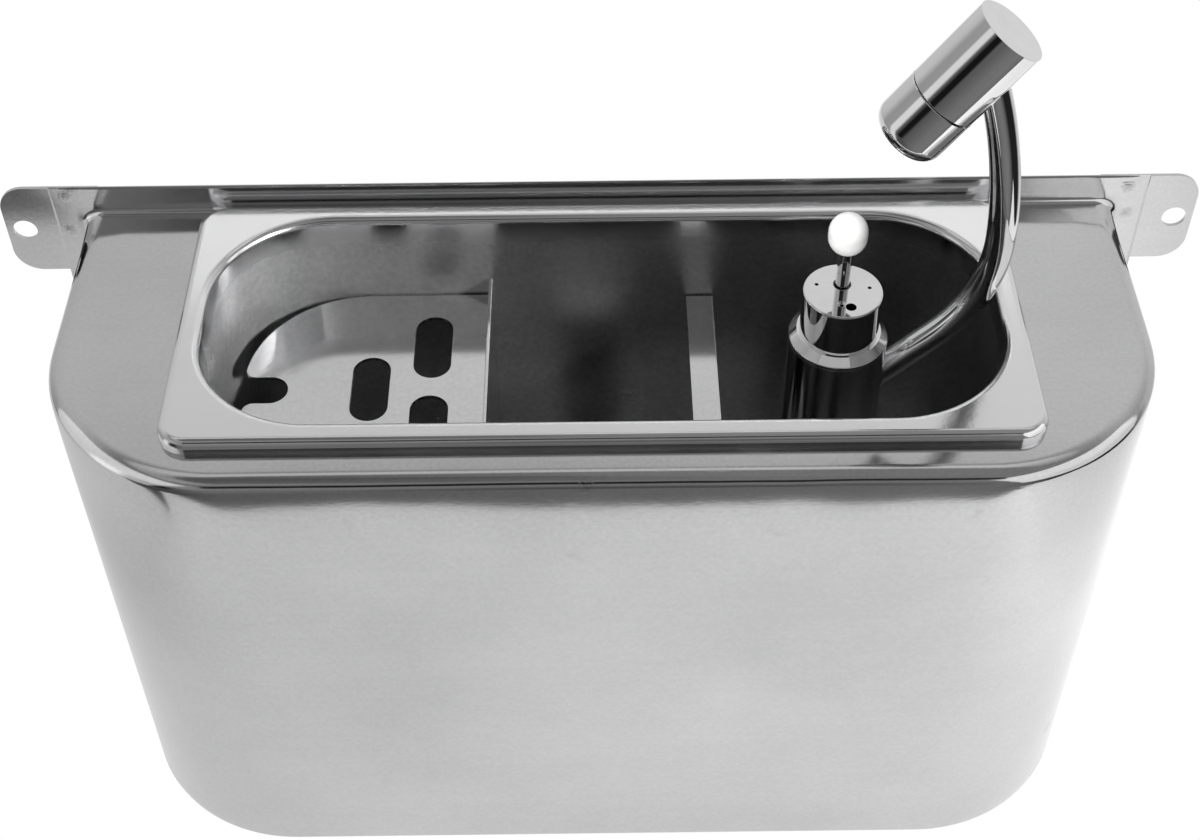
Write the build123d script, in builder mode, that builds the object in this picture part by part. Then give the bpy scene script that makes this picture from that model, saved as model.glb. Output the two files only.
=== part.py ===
from build123d import *
from math import atan2, cos, degrees, pi, radians, sin, sqrt, tan
import os

# Wall-hung dipper well, in millimetres.
# X runs to the right, Y into the wall and Z up. The origin lies on the wall, midway between
# the two fixing holes, so the whole object hangs in front of the plane Y = 0.

# General
overrun = 1.0
seat_gap = 0.05
thread_gap = 0.05

# Housing sheet
sheet = 1.2
housing_width = 423.0
housing_depth = 154.3
housing_corner_radius = 73.0
deck_height = 9.8
apron_height = 239.5
deck_edge_radius = 5.0
flange_width = 13.2
upstand_height = 13.4
cove_radius = 2.5
hem_width = 12.0
hem_radius = 1.8

# Wall ears
wall_hole_pitch = 478.0
wall_hole_radius = 5.0
ear_sheet = 1.5
ear_height = 43.8
ear_edge_reach = 7.6
ear_corner_radius = 11.0
ear_overlap = 20.0

# Basin
basin_sheet = 0.8
basin_centre_y = -71.6
rim_rise = 5.7
rim_length = 325.0
rim_width = 132.6
rim_corner_radius = 11.0
rim_roll_radius = 3.2
opening_length = 306.4
opening_width = 111.8
opening_radius = 46.0
throat_radius = 3.0
basin_depth = 150.0
basin_draft = 3.5
basin_floor_radius = 16.0
deck_cutout_gap = 2.0

# Scoop rest
rest_sheet = 1.5
rest_drop = 39.0
rest_right_x = -44.8
rest_left_x = -143.2
rest_wall_gap = 0.9
rest_end_radius = 48.0
rest_lip_height = 9.0
rest_slot_width = 15.2
rest_slot_length = 35.2
rest_slot_shares = [(0.24, 0.412), (0.24, -0.443), (0.484, -0.032)]
notch_width = 14.5
notch_reach = 18.0
notch_centre_y = -73.4
notch_mouth_radius = 4.0
culvert_width = 26.0
culvert_height = 22.0
leg_x = -112.0
leg_width = 58.0
leg_tab = 12.0
leg_window_width = 30.0
leg_window_height = 60.0
foot_clearance = 0.2

# Splash partition
partition_sheet = 1.2
partition_drop = 41.0
partition_right_x = 47.0
partition_top_width = 11.2
partition_foot = 12.0
partition_wall_gap = 0.9

# Waste and standpipe
waste_x = -5.0
waste_body_radius = 21.6
waste_tail_radius = 20.95
waste_flange_radius = 28.0
waste_flange_thickness = 2.5
waste_bore_radius = 17.5
waste_length = 52.0
waste_hole_gap = 0.5
gasket_thickness = 1.5
washer_thickness = 3.0
waste_washer_radius = 29.0
waste_nut_radius = 31.0
waste_nut_height = 9.0
nut_run_out = 1.5
standpipe_radius = 14.0
standpipe_wall = 1.5
standpipe_height = 62.0
plug_taper_drop = 0.5
plug_length = 14.0
plug_sink = 3.0
plug_land = 4.0
seal_section = 1.2
strainer_height = 10.0
strainer_skirt = 8.0
strainer_wall = 1.2
strainer_slot_count = 12
strainer_slot_width = 3.0
strainer_hole_radius = 2.0
strainer_hole_ring_share = 0.55

# Rinse column
column_x = 92.0
column_radius = 19.25
column_wall = 2.0
collar_top = 5.5
collar_rim_height = 4.5
collar_cone_drop = 3.0
collar_land = 1.05
collar_spigot_length = 9.5
collar_bore_radius = 13.65
collar_ledge_depth = 8.1
collar_ledge_radius = 10.8
column_foot_radius = 21.0
column_foot_height = 4.0
column_base_spigot = 12.0
shank_body_radius = 11.2
shank_tail_radius = 10.48
shank_length = 60.0
shank_grip = 10.0
shank_bore_radius = 3.9
shank_hole_gap = 0.4
column_washer_radius = 17.0
column_nut_radius = 17.5
column_nut_height = 8.0
nut_chamfer = 0.8
riser_radius = 5.0
riser_wall = 1.2
riser_socket = 3.0

# Spray cap
cap_radius = 15.25
cap_height = 19.8
cap_edge_radius = 0.7
cap_bore_radius = 11.6
cap_spigot_length = 8.0
cap_spigot_radius = 13.6
jet_radius = 0.75
jet_place_shares = [(-0.64, 0.236), (0.67, 0.087), (-0.08, -0.495)]
jet_sink_radius = 1.7
port_place_shares = (0.138, -0.605)
port_radius = 2.05
cap_groove_drop = 4.0

# Lever, measured from its pivot on the lever axis
lever_offset_y = 3.6
pivot_depth = 6.0
lever_hole_radius = 3.5
rod_radius = 2.7
ball_radius = 3.8
tail_radius = 1.6
tail_length = 12.0
stud_radius = 2.0
knob_radius = 7.4
knob_band = 2.3
knob_centre_height = 31.1
knob_flat_radius = 3.4
bush_radius = 6.6
bush_half_height = 3.0
bush_seat_half_height = 2.1
bush_mouth_radius = 3.6
socket_roof_height = 4.0
socket_zone_height = 3.2
socket_depth = 4.2
tilt_gap = 0.05

# Valve, measured from the lever's pivot
seat_radius = 15.0
shoe_radius = 4.6
shoe_top_depth = 11.5
shoe_hub_radius = 2.8
shoe_hub_height = 1.8
shoe_pad_radius = 1.9
shoe_groove_radius = 3.9
shoe_groove_depth = 1.0
shoe_vent_radius = 0.6
shoe_vent_count = 4
insert_top_depth = 13.4
insert_radius = 11.5
insert_port_radius = 1.2
insert_outlet_radius = 1.5
insert_outlet_ring = 9.0
insert_outlet_count = 3
insert_outlet_step = 40.0
insert_groove_depth = 1.2
insert_groove_lift = 2.4
spring_radius = 3.7
spring_wire = 0.8
spring_turns = 5

# Arm
arm_radius = 5.6
arm_wall = 1.0
arm_axis_depth = 41.2
arm_rise_angle = 45.2
arm_stub = 52.0
elbow_radius = 67.2
elbow_turn = 47.1
upper_radius = 243.7
upper_turn = 19.6
arm_end_setback = 7.0
arm_hole_gap = 0.05

# Spray head, measured down its own axis from the top face
head_tilt = 35.6
head_radius = 13.6
head_entry = 12.4
head_length = 55.5
head_seam = 33.3
head_seam_gap = 0.3
head_seam_chamfer = 0.3
head_edge_radius = 0.8
head_top_thickness = 3.0
head_bore_radius = 11.4
head_nose_radius = 6.5
nozzle_spigot_length = 6.5
nozzle_spigot_radius = 11.35
nozzle_bore_radius = 9.4
nozzle_floor = 4.0
nozzle_floor_radius = 2.0
nozzle_hole_radius = 0.6
nozzle_ring_count = 10
nozzle_inner_count = 5
nozzle_inner_ring = 3.6
nozzle_ring_angle = 50.0
head_groove_share = 0.45
disc_thickness = 1.5
disc_drop = 11.0
disc_ledge = 1.0
disc_hole_radius = 0.9
disc_hole_count = 8
disc_hole_ring_share = 0.62
head_seal_section = 1.0

# Derived levels
flange_front = -(ear_sheet + sheet)
flange_top = deck_height + upstand_height
apron_bottom = deck_height - apron_height
housing_half = housing_width / 2
flange_half = housing_half + flange_width
rim_top = deck_height + rim_rise
floor_top = rim_top - basin_depth
floor_bottom = floor_top - basin_sheet
rest_top = rim_top - rest_drop
partition_top = rim_top - partition_drop
opening_half_length = opening_length / 2
opening_half_width = opening_width / 2

# Derived places of the column, lever and valve
column_y = basin_centre_y
lever_y = column_y + lever_offset_y
cap_top = collar_top + cap_height
cap_shoulder = collar_top
pivot_z = cap_top - pivot_depth
column_foot_z = floor_top + gasket_thickness
tube_bottom = column_foot_z + column_foot_height
tube_top = collar_top - collar_rim_height
tube_bore_radius = column_radius - column_wall
ledge_z = collar_top - collar_ledge_depth
insert_top = pivot_z - insert_top_depth
shank_top = column_foot_z + shank_grip
shank_bottom = shank_top - shank_length
column_axis = Axis((column_x, column_y, 0), (0, 0, 1))
lever_axis = Axis((column_x, lever_y, 0), (0, 0, 1))
waste_axis = Axis((waste_x, basin_centre_y, 0), (0, 0, 1))
column_plane = Plane(origin=(column_x, column_y, 0), x_dir=(1, 0, 0), z_dir=(0, -1, 0))
pivot_plane = Plane(origin=(column_x, lever_y, pivot_z), x_dir=(1, 0, 0), z_dir=(0, -1, 0))
waste_plane = Plane(origin=(waste_x, basin_centre_y, 0), x_dir=(1, 0, 0), z_dir=(0, -1, 0))


def half_width_at(drop):
    """Half the basin's inner width at a depth under its rim."""
    return opening_half_width - drop * tan(radians(basin_draft))


def level_plane(x, y, z):
    """A horizontal plane with its own centre."""
    return Plane(origin=(x, y, z), x_dir=(1, 0, 0), z_dir=(0, 0, 1))


def pressed_block(inset, bottom, back):
    """The space inside the apron and deck, set in by a distance, with its bent deck edge."""
    half = housing_half - inset
    front = inset - housing_depth
    with BuildPart() as block:
        with BuildSketch(Plane.XY.offset(bottom)):
            with BuildLine():
                FilletPolyline(
                    (-half, back),
                    (-half, front),
                    (half, front),
                    (half, back),
                    radius=housing_corner_radius - inset,
                )
                Line((half, back), (-half, back))
            make_face()
        extrude(amount=deck_height - inset - bottom)
        top_face = block.faces().sort_by(Axis.Z)[-1]
        fillet(top_face.edges().sort_by(Axis.Y)[:-1], deck_edge_radius - inset)
        bottom_face = block.faces().sort_by(Axis.Z)[0]
        fillet(bottom_face.edges().sort_by(Axis.Y)[:-1], hem_radius - inset)
    return block.part


def basin_form(grow):
    """The drawn bowl, grown by a thickness, with drafted walls and a rounded floor."""
    with BuildPart() as form:
        with BuildSketch(level_plane(0, basin_centre_y, rim_top)):
            RectangleRounded(
                opening_length + 2 * grow, opening_width + 2 * grow, opening_radius + grow
            )
        extrude(amount=-(basin_depth + grow), taper=basin_draft)
        floor_edges = form.faces().sort_by(Axis.Z)[0].edges()
        fillet(floor_edges, basin_floor_radius + grow)
    return form.part


def rim_block(inset):
    """The rim's outer form, set in by a distance, with its rolled top edge."""
    with BuildPart() as block:
        with BuildSketch(level_plane(0, basin_centre_y, deck_height)):
            RectangleRounded(
                rim_length - 2 * inset, rim_width - 2 * inset, rim_corner_radius - inset
            )
        extrude(amount=rim_rise - inset)
        fillet(block.faces().sort_by(Axis.Z)[-1].edges(), rim_roll_radius - inset)
    return block.part


# Housing: deck, apron, rear flange and turned-in bottom edge from one sheet
with BuildPart() as housing:
    add(pressed_block(0, apron_bottom, -ear_sheet))
    with BuildSketch(Plane.XZ.offset(-flange_front)):
        with Locations((0, (flange_top + apron_bottom) / 2)):
            Rectangle(2 * flange_half, flange_top - apron_bottom)
    extrude(amount=-sheet)
    cove_edges = housing.edges().filter_by(
        lambda edge: abs(edge.center().Y - flange_front) < sheet / 4
        and abs(edge.center().X) < housing_half + sheet
        and apron_bottom + sheet < edge.center().Z < deck_height + sheet
    )
    fillet(cove_edges, cove_radius)
    add(pressed_block(sheet, apron_bottom + sheet, overrun), mode=Mode.SUBTRACT)
    with BuildSketch(Plane.XY.offset(apron_bottom - overrun)):
        with BuildLine():
            FilletPolyline(
                (hem_width - housing_half, overrun),
                (hem_width - housing_half, hem_width - housing_depth),
                (housing_half - hem_width, hem_width - housing_depth),
                (housing_half - hem_width, overrun),
                radius=housing_corner_radius - hem_width,
            )
            Line((housing_half - hem_width, overrun), (hem_width - housing_half, overrun))
        make_face()
    extrude(amount=2 * overrun + sheet, mode=Mode.SUBTRACT)
    with BuildSketch(level_plane(0, basin_centre_y, deck_height - 2 * sheet)):
        RectangleRounded(
            opening_length + 2 * (basin_sheet + deck_cutout_gap),
            opening_width + 2 * (basin_sheet + deck_cutout_gap),
            opening_radius + basin_sheet + deck_cutout_gap,
        )
    extrude(amount=3 * sheet, mode=Mode.SUBTRACT)
housing.part.label = "housing"


def wall_ear(side):
    """One fixing plate, standing out beside the flange and overlapping its back."""
    hole_x = side * wall_hole_pitch / 2
    outer_x = hole_x + side * ear_edge_reach
    inner_x = side * (flange_half - ear_overlap)
    with BuildPart() as ear:
        with BuildSketch(Plane.XZ):
            with Locations(((outer_x + inner_x) / 2, 0)):
                Rectangle(abs(outer_x - inner_x), ear_height)
            fillet(vertices().sort_by_distance((outer_x, 0))[:2], ear_corner_radius)
            with Locations((hole_x, 0)):
                Circle(wall_hole_radius, mode=Mode.SUBTRACT)
        extrude(amount=ear_sheet)
    return ear.part


with BuildPart() as ear_left:
    add(wall_ear(-1))
ear_left.part.label = "ear_left"

with BuildPart() as ear_right:
    add(wall_ear(1))
ear_right.part.label = "ear_right"

# Basin: drawn bowl with a flat rim, rolled down to the deck
with BuildPart() as basin:
    add(rim_block(0))
    add(rim_block(basin_sheet), mode=Mode.SUBTRACT)
    add(basin_form(basin_sheet))
    under_edges = basin.edges().filter_by(
        lambda edge: abs(edge.center().Z - rim_top + basin_sheet) < basin_sheet / 4
        and abs(edge.center().X) < opening_half_length + 2 * basin_sheet
        and abs(edge.center().Y - basin_centre_y) < opening_half_width + 2 * basin_sheet
    )
    fillet(under_edges, throat_radius + basin_sheet)
    add(basin_form(0), mode=Mode.SUBTRACT)
    throat_edges = basin.edges().filter_by(
        lambda edge: abs(edge.center().Z - rim_top) < basin_sheet / 4
        and abs(edge.center().X) < opening_half_length + basin_sheet
        and abs(edge.center().Y - basin_centre_y) < opening_half_width + basin_sheet
    )
    fillet(throat_edges, throat_radius)
    with BuildSketch(Plane.XY.offset(floor_bottom - overrun)):
        with Locations((waste_x, basin_centre_y)):
            Circle(waste_body_radius + waste_hole_gap)
        with Locations((column_x, column_y)):
            Circle(shank_body_radius + shank_hole_gap)
    extrude(amount=basin_sheet + 2 * overrun, mode=Mode.SUBTRACT)
basin.part.label = "basin"

# Scoop rest: slotted platform with a lip, a wall to the floor and an open notch
rest_half = half_width_at(rest_drop) - rest_wall_gap
rest_foot = floor_top + foot_clearance
rest_foot_half = half_width_at(rim_top - rest_foot) - rest_wall_gap
with BuildPart() as scoop_rest:
    with BuildSketch(Plane.XY.offset(rest_top - rest_sheet)):
        with Locations(((rest_left_x + rest_right_x) / 2, basin_centre_y)):
            Rectangle(rest_right_x - rest_left_x, 2 * rest_half)
        fillet(vertices().sort_by(Axis.X)[:2], rest_end_radius)
        with Locations((rest_left_x, notch_centre_y)):
            Rectangle(2 * (notch_reach - notch_width / 2), notch_width, mode=Mode.SUBTRACT)
        with Locations((rest_left_x + notch_reach - notch_width / 2, notch_centre_y)):
            Circle(notch_width / 2, mode=Mode.SUBTRACT)
        mouth_corners = vertices().filter_by(
            lambda corner: corner.X < rest_left_x + notch_mouth_radius
            and abs(abs(corner.Y - notch_centre_y) - notch_width / 2) < seat_gap
        )
        fillet(mouth_corners, notch_mouth_radius)
        for along_share, across_share in rest_slot_shares:
            slot_x = rest_right_x + along_share * (rest_left_x - rest_right_x)
            slot_y = basin_centre_y + across_share * rest_half
            with Locations((slot_x, slot_y)):
                SlotOverall(
                    rest_slot_length, rest_slot_width, rotation=90, mode=Mode.SUBTRACT
                )
    extrude(amount=rest_sheet)
    with BuildSketch(Plane.YZ.offset(rest_right_x)):
        with BuildLine():
            Polyline(
                (basin_centre_y - rest_half, rest_top + rest_lip_height),
                (basin_centre_y + rest_half, rest_top + rest_lip_height),
                (basin_centre_y + rest_half, rest_top),
                (basin_centre_y + rest_foot_half, rest_foot),
                (basin_centre_y - rest_foot_half, rest_foot),
                (basin_centre_y - rest_half, rest_top),
                close=True,
            )
        make_face()
        fillet(vertices().sort_by(Axis.Y)[:2], basin_floor_radius)
        with Locations((basin_centre_y, rest_foot + culvert_height / 2)):
            Rectangle(culvert_width, culvert_height, mode=Mode.SUBTRACT)
        with Locations((basin_centre_y, rest_foot + culvert_height)):
            Circle(culvert_width / 2, mode=Mode.SUBTRACT)
    extrude(amount=-rest_sheet)
    lip_top = scoop_rest.faces().sort_by(Axis.Z)[-1]
    fillet(lip_top.edges().filter_by(Axis.Y), rest_sheet / 3)
scoop_rest.part.label = "scoop_rest"

# Leg under the far end of the rest, with a welded tab and a window for the water
with BuildPart() as rest_leg:
    with BuildSketch(Plane.YZ.offset(leg_x)):
        with BuildLine():
            FilletPolyline(
                (basin_centre_y - leg_width / 2, rest_top - rest_sheet),
                (basin_centre_y - leg_width / 2, rest_foot),
                (basin_centre_y + leg_width / 2, rest_foot),
                (basin_centre_y + leg_width / 2, rest_top - rest_sheet),
                radius=ear_corner_radius / 2,
            )
            Line(
                (basin_centre_y + leg_width / 2, rest_top - rest_sheet),
                (basin_centre_y - leg_width / 2, rest_top - rest_sheet),
            )
        make_face()
        with Locations((basin_centre_y, (rest_top + rest_foot) / 2)):
            RectangleRounded(
                leg_window_width, leg_window_height, leg_window_width / 3, mode=Mode.SUBTRACT
            )
    extrude(amount=rest_sheet)
    with BuildSketch(Plane.XY.offset(rest_top - 2 * rest_sheet)):
        with Locations((leg_x + leg_tab / 2, basin_centre_y)):
            Rectangle(leg_tab, leg_width)
    extrude(amount=rest_sheet)
    bend_edge = rest_leg.edges().filter_by(Axis.Y).sort_by(Axis.Z)[-2:].sort_by(Axis.X)[0]
    fillet(bend_edge, rest_sheet / 2)
rest_leg.part.label = "rest_leg"

# Splash partition: a folded strip with a top flange and a foot
partition_half = half_width_at(partition_drop) - partition_wall_gap
with BuildPart() as splash_partition:
    with BuildSketch(Plane.YZ.offset(partition_right_x)):
        with BuildLine():
            Polyline(
                (basin_centre_y - partition_half, partition_top),
                (basin_centre_y + partition_half, partition_top),
                (basin_centre_y + rest_foot_half, rest_foot),
                (basin_centre_y - rest_foot_half, rest_foot),
                close=True,
            )
        make_face()
        fillet(vertices().sort_by(Axis.Y)[:2], basin_floor_radius)
        with Locations((basin_centre_y, rest_foot + culvert_height)):
            Circle(culvert_width / 2, mode=Mode.SUBTRACT)
    extrude(amount=-partition_sheet)
    with BuildSketch(Plane.XY.offset(partition_top - partition_sheet)):
        with Locations((partition_right_x - partition_top_width / 2, basin_centre_y)):
            Rectangle(partition_top_width, 2 * partition_half)
    extrude(amount=partition_sheet)
    foot_half = rest_foot_half - basin_floor_radius
    with BuildSketch(Plane.XY.offset(rest_foot)):
        with Locations((partition_right_x - partition_foot / 2, basin_centre_y)):
            Rectangle(partition_foot, 2 * foot_half)
    extrude(amount=partition_sheet)
    fold_edge = splash_partition.edges().filter_by(Axis.Y).sort_by(Axis.Z)[-2:].sort_by(Axis.X)[-1]
    fillet(fold_edge, partition_sheet / 2)
splash_partition.part.label = "splash_partition"

# Waste: flanged body with its gasket, washer and locknut
waste_top = floor_top + gasket_thickness + waste_flange_thickness
waste_bottom = floor_top + gasket_thickness - waste_length
waste_step_z = floor_bottom - washer_thickness - waste_nut_height - nut_run_out
with BuildPart() as waste_flange:
    with BuildSketch(waste_plane):
        Polygon(
            (waste_bore_radius, waste_bottom),
            (waste_tail_radius, waste_bottom),
            (waste_tail_radius, waste_step_z),
            (waste_body_radius, waste_step_z),
            (waste_body_radius, floor_top + gasket_thickness),
            (waste_flange_radius, floor_top + gasket_thickness),
            (waste_flange_radius, waste_top),
            (waste_bore_radius, waste_top),
            align=None,
        )
    revolve(axis=waste_axis)
    upper_edges = waste_flange.edges().filter_by(GeomType.CIRCLE).group_by(Axis.Z)[-1]
    fillet(upper_edges.sort_by(SortBy.RADIUS)[-1], waste_flange_thickness / 2)
    lower_edges = waste_flange.edges().filter_by(GeomType.CIRCLE).group_by(Axis.Z)[0]
    chamfer(lower_edges.sort_by(SortBy.RADIUS)[-1], nut_chamfer)
waste_flange.part.label = "waste_flange"

with BuildPart() as waste_gasket:
    with BuildSketch(level_plane(waste_x, basin_centre_y, floor_top)):
        Circle(waste_flange_radius - seal_section)
        Circle(waste_body_radius + seat_gap, mode=Mode.SUBTRACT)
    extrude(amount=gasket_thickness)
waste_gasket.part.label = "waste_gasket"

with BuildPart() as waste_washer:
    with BuildSketch(level_plane(waste_x, basin_centre_y, floor_bottom)):
        Circle(waste_washer_radius)
        Circle(waste_body_radius + seat_gap, mode=Mode.SUBTRACT)
    extrude(amount=-washer_thickness)
waste_washer.part.label = "waste_washer"


def locknut(x, y, top, across, height, bore):
    """A chamfered hexagon nut under a level."""
    with BuildPart() as nut:
        with BuildSketch(level_plane(x, y, top)):
            RegularPolygon(across, 6, major_radius=False)
            Circle(bore, mode=Mode.SUBTRACT)
        extrude(amount=-height)
        rims = nut.edges().filter_by(GeomType.CIRCLE)
        chamfer(rims, nut_chamfer / 2)
    return nut.part


with BuildPart() as waste_locknut:
    add(
        locknut(
            waste_x,
            basin_centre_y,
            floor_bottom - washer_thickness,
            waste_nut_radius,
            waste_nut_height,
            waste_body_radius + thread_gap,
        )
    )
waste_locknut.part.label = "waste_locknut"

# Standpipe: overflow pipe with a tapered plug and a groove for its seal
plug_top = waste_top - plug_sink
plug_bottom = plug_top - plug_length
pipe_top = plug_top + standpipe_height
plug_foot_radius = waste_bore_radius - plug_taper_drop
plug_head_radius = waste_bore_radius - seat_gap
seal_ring_radius = plug_head_radius - seal_section / 2
with BuildPart() as standpipe:
    with BuildSketch(waste_plane):
        Polygon(
            (standpipe_radius - standpipe_wall, plug_bottom),
            (plug_foot_radius, plug_bottom),
            (plug_head_radius, plug_top - plug_land),
            (plug_head_radius, plug_top),
            (standpipe_radius, plug_top),
            (standpipe_radius, pipe_top),
            (standpipe_radius - standpipe_wall, pipe_top),
            align=None,
        )
        with Locations((plug_head_radius, plug_top - plug_land / 2)):
            Rectangle(2 * seal_section, seal_section + 2 * seat_gap, mode=Mode.SUBTRACT)
    revolve(axis=waste_axis)
standpipe.part.label = "standpipe"

with BuildPart() as standpipe_seal:
    with BuildSketch(waste_plane):
        with Locations((seal_ring_radius, plug_top - plug_land / 2)):
            Circle(seal_section / 2)
    revolve(axis=waste_axis)
standpipe_seal.part.label = "standpipe_seal"

# Strainer: a slotted cap that sits over the standpipe's mouth
strainer_top = pipe_top + strainer_height
strainer_inner = standpipe_radius + seat_gap
strainer_outer = strainer_inner + strainer_wall
with BuildPart() as overflow_strainer:
    with BuildSketch(waste_plane):
        Polygon(
            (0, strainer_top - strainer_wall),
            (strainer_inner - strainer_wall, strainer_top - strainer_wall),
            (strainer_inner - strainer_wall, pipe_top),
            (strainer_inner, pipe_top),
            (strainer_inner, pipe_top - strainer_skirt),
            (strainer_outer, pipe_top - strainer_skirt),
            (strainer_outer, strainer_top),
            (0, strainer_top),
            align=None,
        )
    revolve(axis=waste_axis)
    rim_circle = overflow_strainer.edges().filter_by(GeomType.CIRCLE).group_by(Axis.Z)[-1]
    fillet(rim_circle, strainer_wall / 2)
    with BuildSketch(level_plane(waste_x, basin_centre_y, strainer_top)):
        with PolarLocations(strainer_outer * strainer_hole_ring_share, strainer_slot_count // 2):
            Circle(strainer_hole_radius)
        Circle(strainer_hole_radius)
    extrude(amount=-2 * strainer_wall, mode=Mode.SUBTRACT)
    slot_height = strainer_height - 3 * strainer_wall
    slot_middle = pipe_top + strainer_wall + slot_height / 2
    for turn in range(strainer_slot_count):
        slot_plane = Plane(
            origin=(waste_x, basin_centre_y, slot_middle),
            x_dir=(0, 0, 1),
            z_dir=(cos(2 * pi * turn / strainer_slot_count), sin(2 * pi * turn / strainer_slot_count), 0),
        )
        with BuildSketch(slot_plane):
            SlotOverall(slot_height, strainer_slot_width)
        extrude(amount=strainer_outer + overrun, mode=Mode.SUBTRACT)
overflow_strainer.part.label = "overflow_strainer"

# Column foot, clamped to the basin floor
with BuildPart() as column_gasket:
    with BuildSketch(level_plane(column_x, column_y, floor_top)):
        Circle(column_foot_radius - seal_section)
        Circle(shank_body_radius + seat_gap, mode=Mode.SUBTRACT)
    extrude(amount=gasket_thickness)
column_gasket.part.label = "column_gasket"

base_top = tube_bottom + column_base_spigot
with BuildPart() as column_base:
    with BuildSketch(column_plane):
        Polygon(
            (0, column_foot_z),
            (column_foot_radius, column_foot_z),
            (column_foot_radius, tube_bottom),
            (tube_bore_radius - seat_gap, tube_bottom),
            (tube_bore_radius - seat_gap, base_top),
            (0, base_top),
            align=None,
        )
    revolve(axis=column_axis)
    foot_edges = column_base.edges().filter_by(GeomType.CIRCLE).group_by(Axis.Z)[1]
    fillet(foot_edges.sort_by(SortBy.RADIUS)[-1], column_foot_height / 3)
    with BuildSketch(level_plane(column_x, column_y, column_foot_z)):
        Circle(shank_body_radius + thread_gap)
    extrude(amount=shank_grip, mode=Mode.SUBTRACT)
    with BuildSketch(level_plane(column_x, lever_y, column_foot_z)):
        Circle(riser_radius + seat_gap)
    extrude(amount=base_top - column_foot_z + overrun, mode=Mode.SUBTRACT)
column_base.part.label = "column_base"

shank_step_z = floor_bottom - washer_thickness - column_nut_height - nut_run_out
with BuildPart() as supply_shank:
    with BuildSketch(column_plane):
        Polygon(
            (0, shank_bottom),
            (shank_tail_radius, shank_bottom),
            (shank_tail_radius, shank_step_z),
            (shank_body_radius, shank_step_z),
            (shank_body_radius, shank_top),
            (0, shank_top),
            align=None,
        )
    revolve(axis=column_axis)
    chamfer(supply_shank.edges().filter_by(GeomType.CIRCLE).sort_by(Axis.Z)[0], nut_chamfer)
    with BuildSketch(level_plane(column_x, lever_y, shank_bottom - overrun)):
        Circle(shank_bore_radius)
    extrude(amount=shank_length + 2 * overrun, mode=Mode.SUBTRACT)
supply_shank.part.label = "supply_shank"

with BuildPart() as column_washer:
    with BuildSketch(level_plane(column_x, column_y, floor_bottom)):
        Circle(column_washer_radius)
        Circle(shank_body_radius + seat_gap, mode=Mode.SUBTRACT)
    extrude(amount=-washer_thickness)
column_washer.part.label = "column_washer"

with BuildPart() as column_locknut:
    add(
        locknut(
            column_x,
            column_y,
            floor_bottom - washer_thickness,
            column_nut_radius,
            column_nut_height,
            shank_body_radius + thread_gap,
        )
    )
column_locknut.part.label = "column_locknut"

# Arm centreline, from the column's axis up and over to the spray head's axis
arm_rise = radians(arm_rise_angle)
arm_z = collar_top - arm_axis_depth
arm_plane = Plane(origin=(column_x, column_y, arm_z), x_dir=(1, 0, 0), z_dir=(0, -1, 0))
stub_direction = (cos(arm_rise), sin(arm_rise))
stub_start_length = (tube_bore_radius - arm_radius) / cos(arm_rise)
stub_start = (stub_start_length * stub_direction[0], stub_start_length * stub_direction[1])
stub_end = (arm_stub * stub_direction[0], arm_stub * stub_direction[1])
elbow_end_angle = arm_rise + radians(elbow_turn)
elbow_centre = (
    stub_end[0] - elbow_radius * sin(arm_rise),
    stub_end[1] + elbow_radius * cos(arm_rise),
)
elbow_end = (
    elbow_centre[0] + elbow_radius * sin(elbow_end_angle),
    elbow_centre[1] - elbow_radius * cos(elbow_end_angle),
)
upper_end_angle = elbow_end_angle + radians(upper_turn)
upper_centre = (
    elbow_end[0] - upper_radius * sin(elbow_end_angle),
    elbow_end[1] + upper_radius * cos(elbow_end_angle),
)
arm_meeting = (
    upper_centre[0] + upper_radius * sin(upper_end_angle),
    upper_centre[1] - upper_radius * cos(upper_end_angle),
)
arm_sweep_turn = upper_turn - degrees(arm_end_setback / upper_radius)
arm_end_x = column_x + arm_meeting[0]
arm_end_z = arm_z + arm_meeting[1]

# Column tube, with the hole that the arm is soldered into
with BuildPart() as column_tube:
    with BuildSketch(level_plane(column_x, column_y, tube_bottom)):
        Circle(column_radius)
        Circle(tube_bore_radius, mode=Mode.SUBTRACT)
    extrude(amount=tube_top - tube_bottom)
    hole_plane = Plane(
        origin=(column_x, column_y, arm_z),
        x_dir=(0, 1, 0),
        z_dir=(stub_direction[0], 0, stub_direction[1]),
    )
    with BuildSketch(hole_plane):
        Circle(arm_radius + arm_hole_gap)
    extrude(amount=arm_stub, mode=Mode.SUBTRACT)
column_tube.part.label = "column_tube"

with BuildPart() as arm_tube:
    with BuildLine(arm_plane) as arm_route:
        Line(stub_start, stub_end)
        JernArc(start=stub_end, tangent=stub_direction, radius=elbow_radius, arc_size=elbow_turn)
        JernArc(
            start=elbow_end,
            tangent=(cos(elbow_end_angle), sin(elbow_end_angle)),
            radius=upper_radius,
            arc_size=arm_sweep_turn,
        )
    with BuildSketch(Plane(origin=arm_route.line @ 0, z_dir=arm_route.line % 0)):
        Circle(arm_radius)
        Circle(arm_radius - arm_wall, mode=Mode.SUBTRACT)
    sweep()
arm_tube.part.label = "arm_tube"

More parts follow.
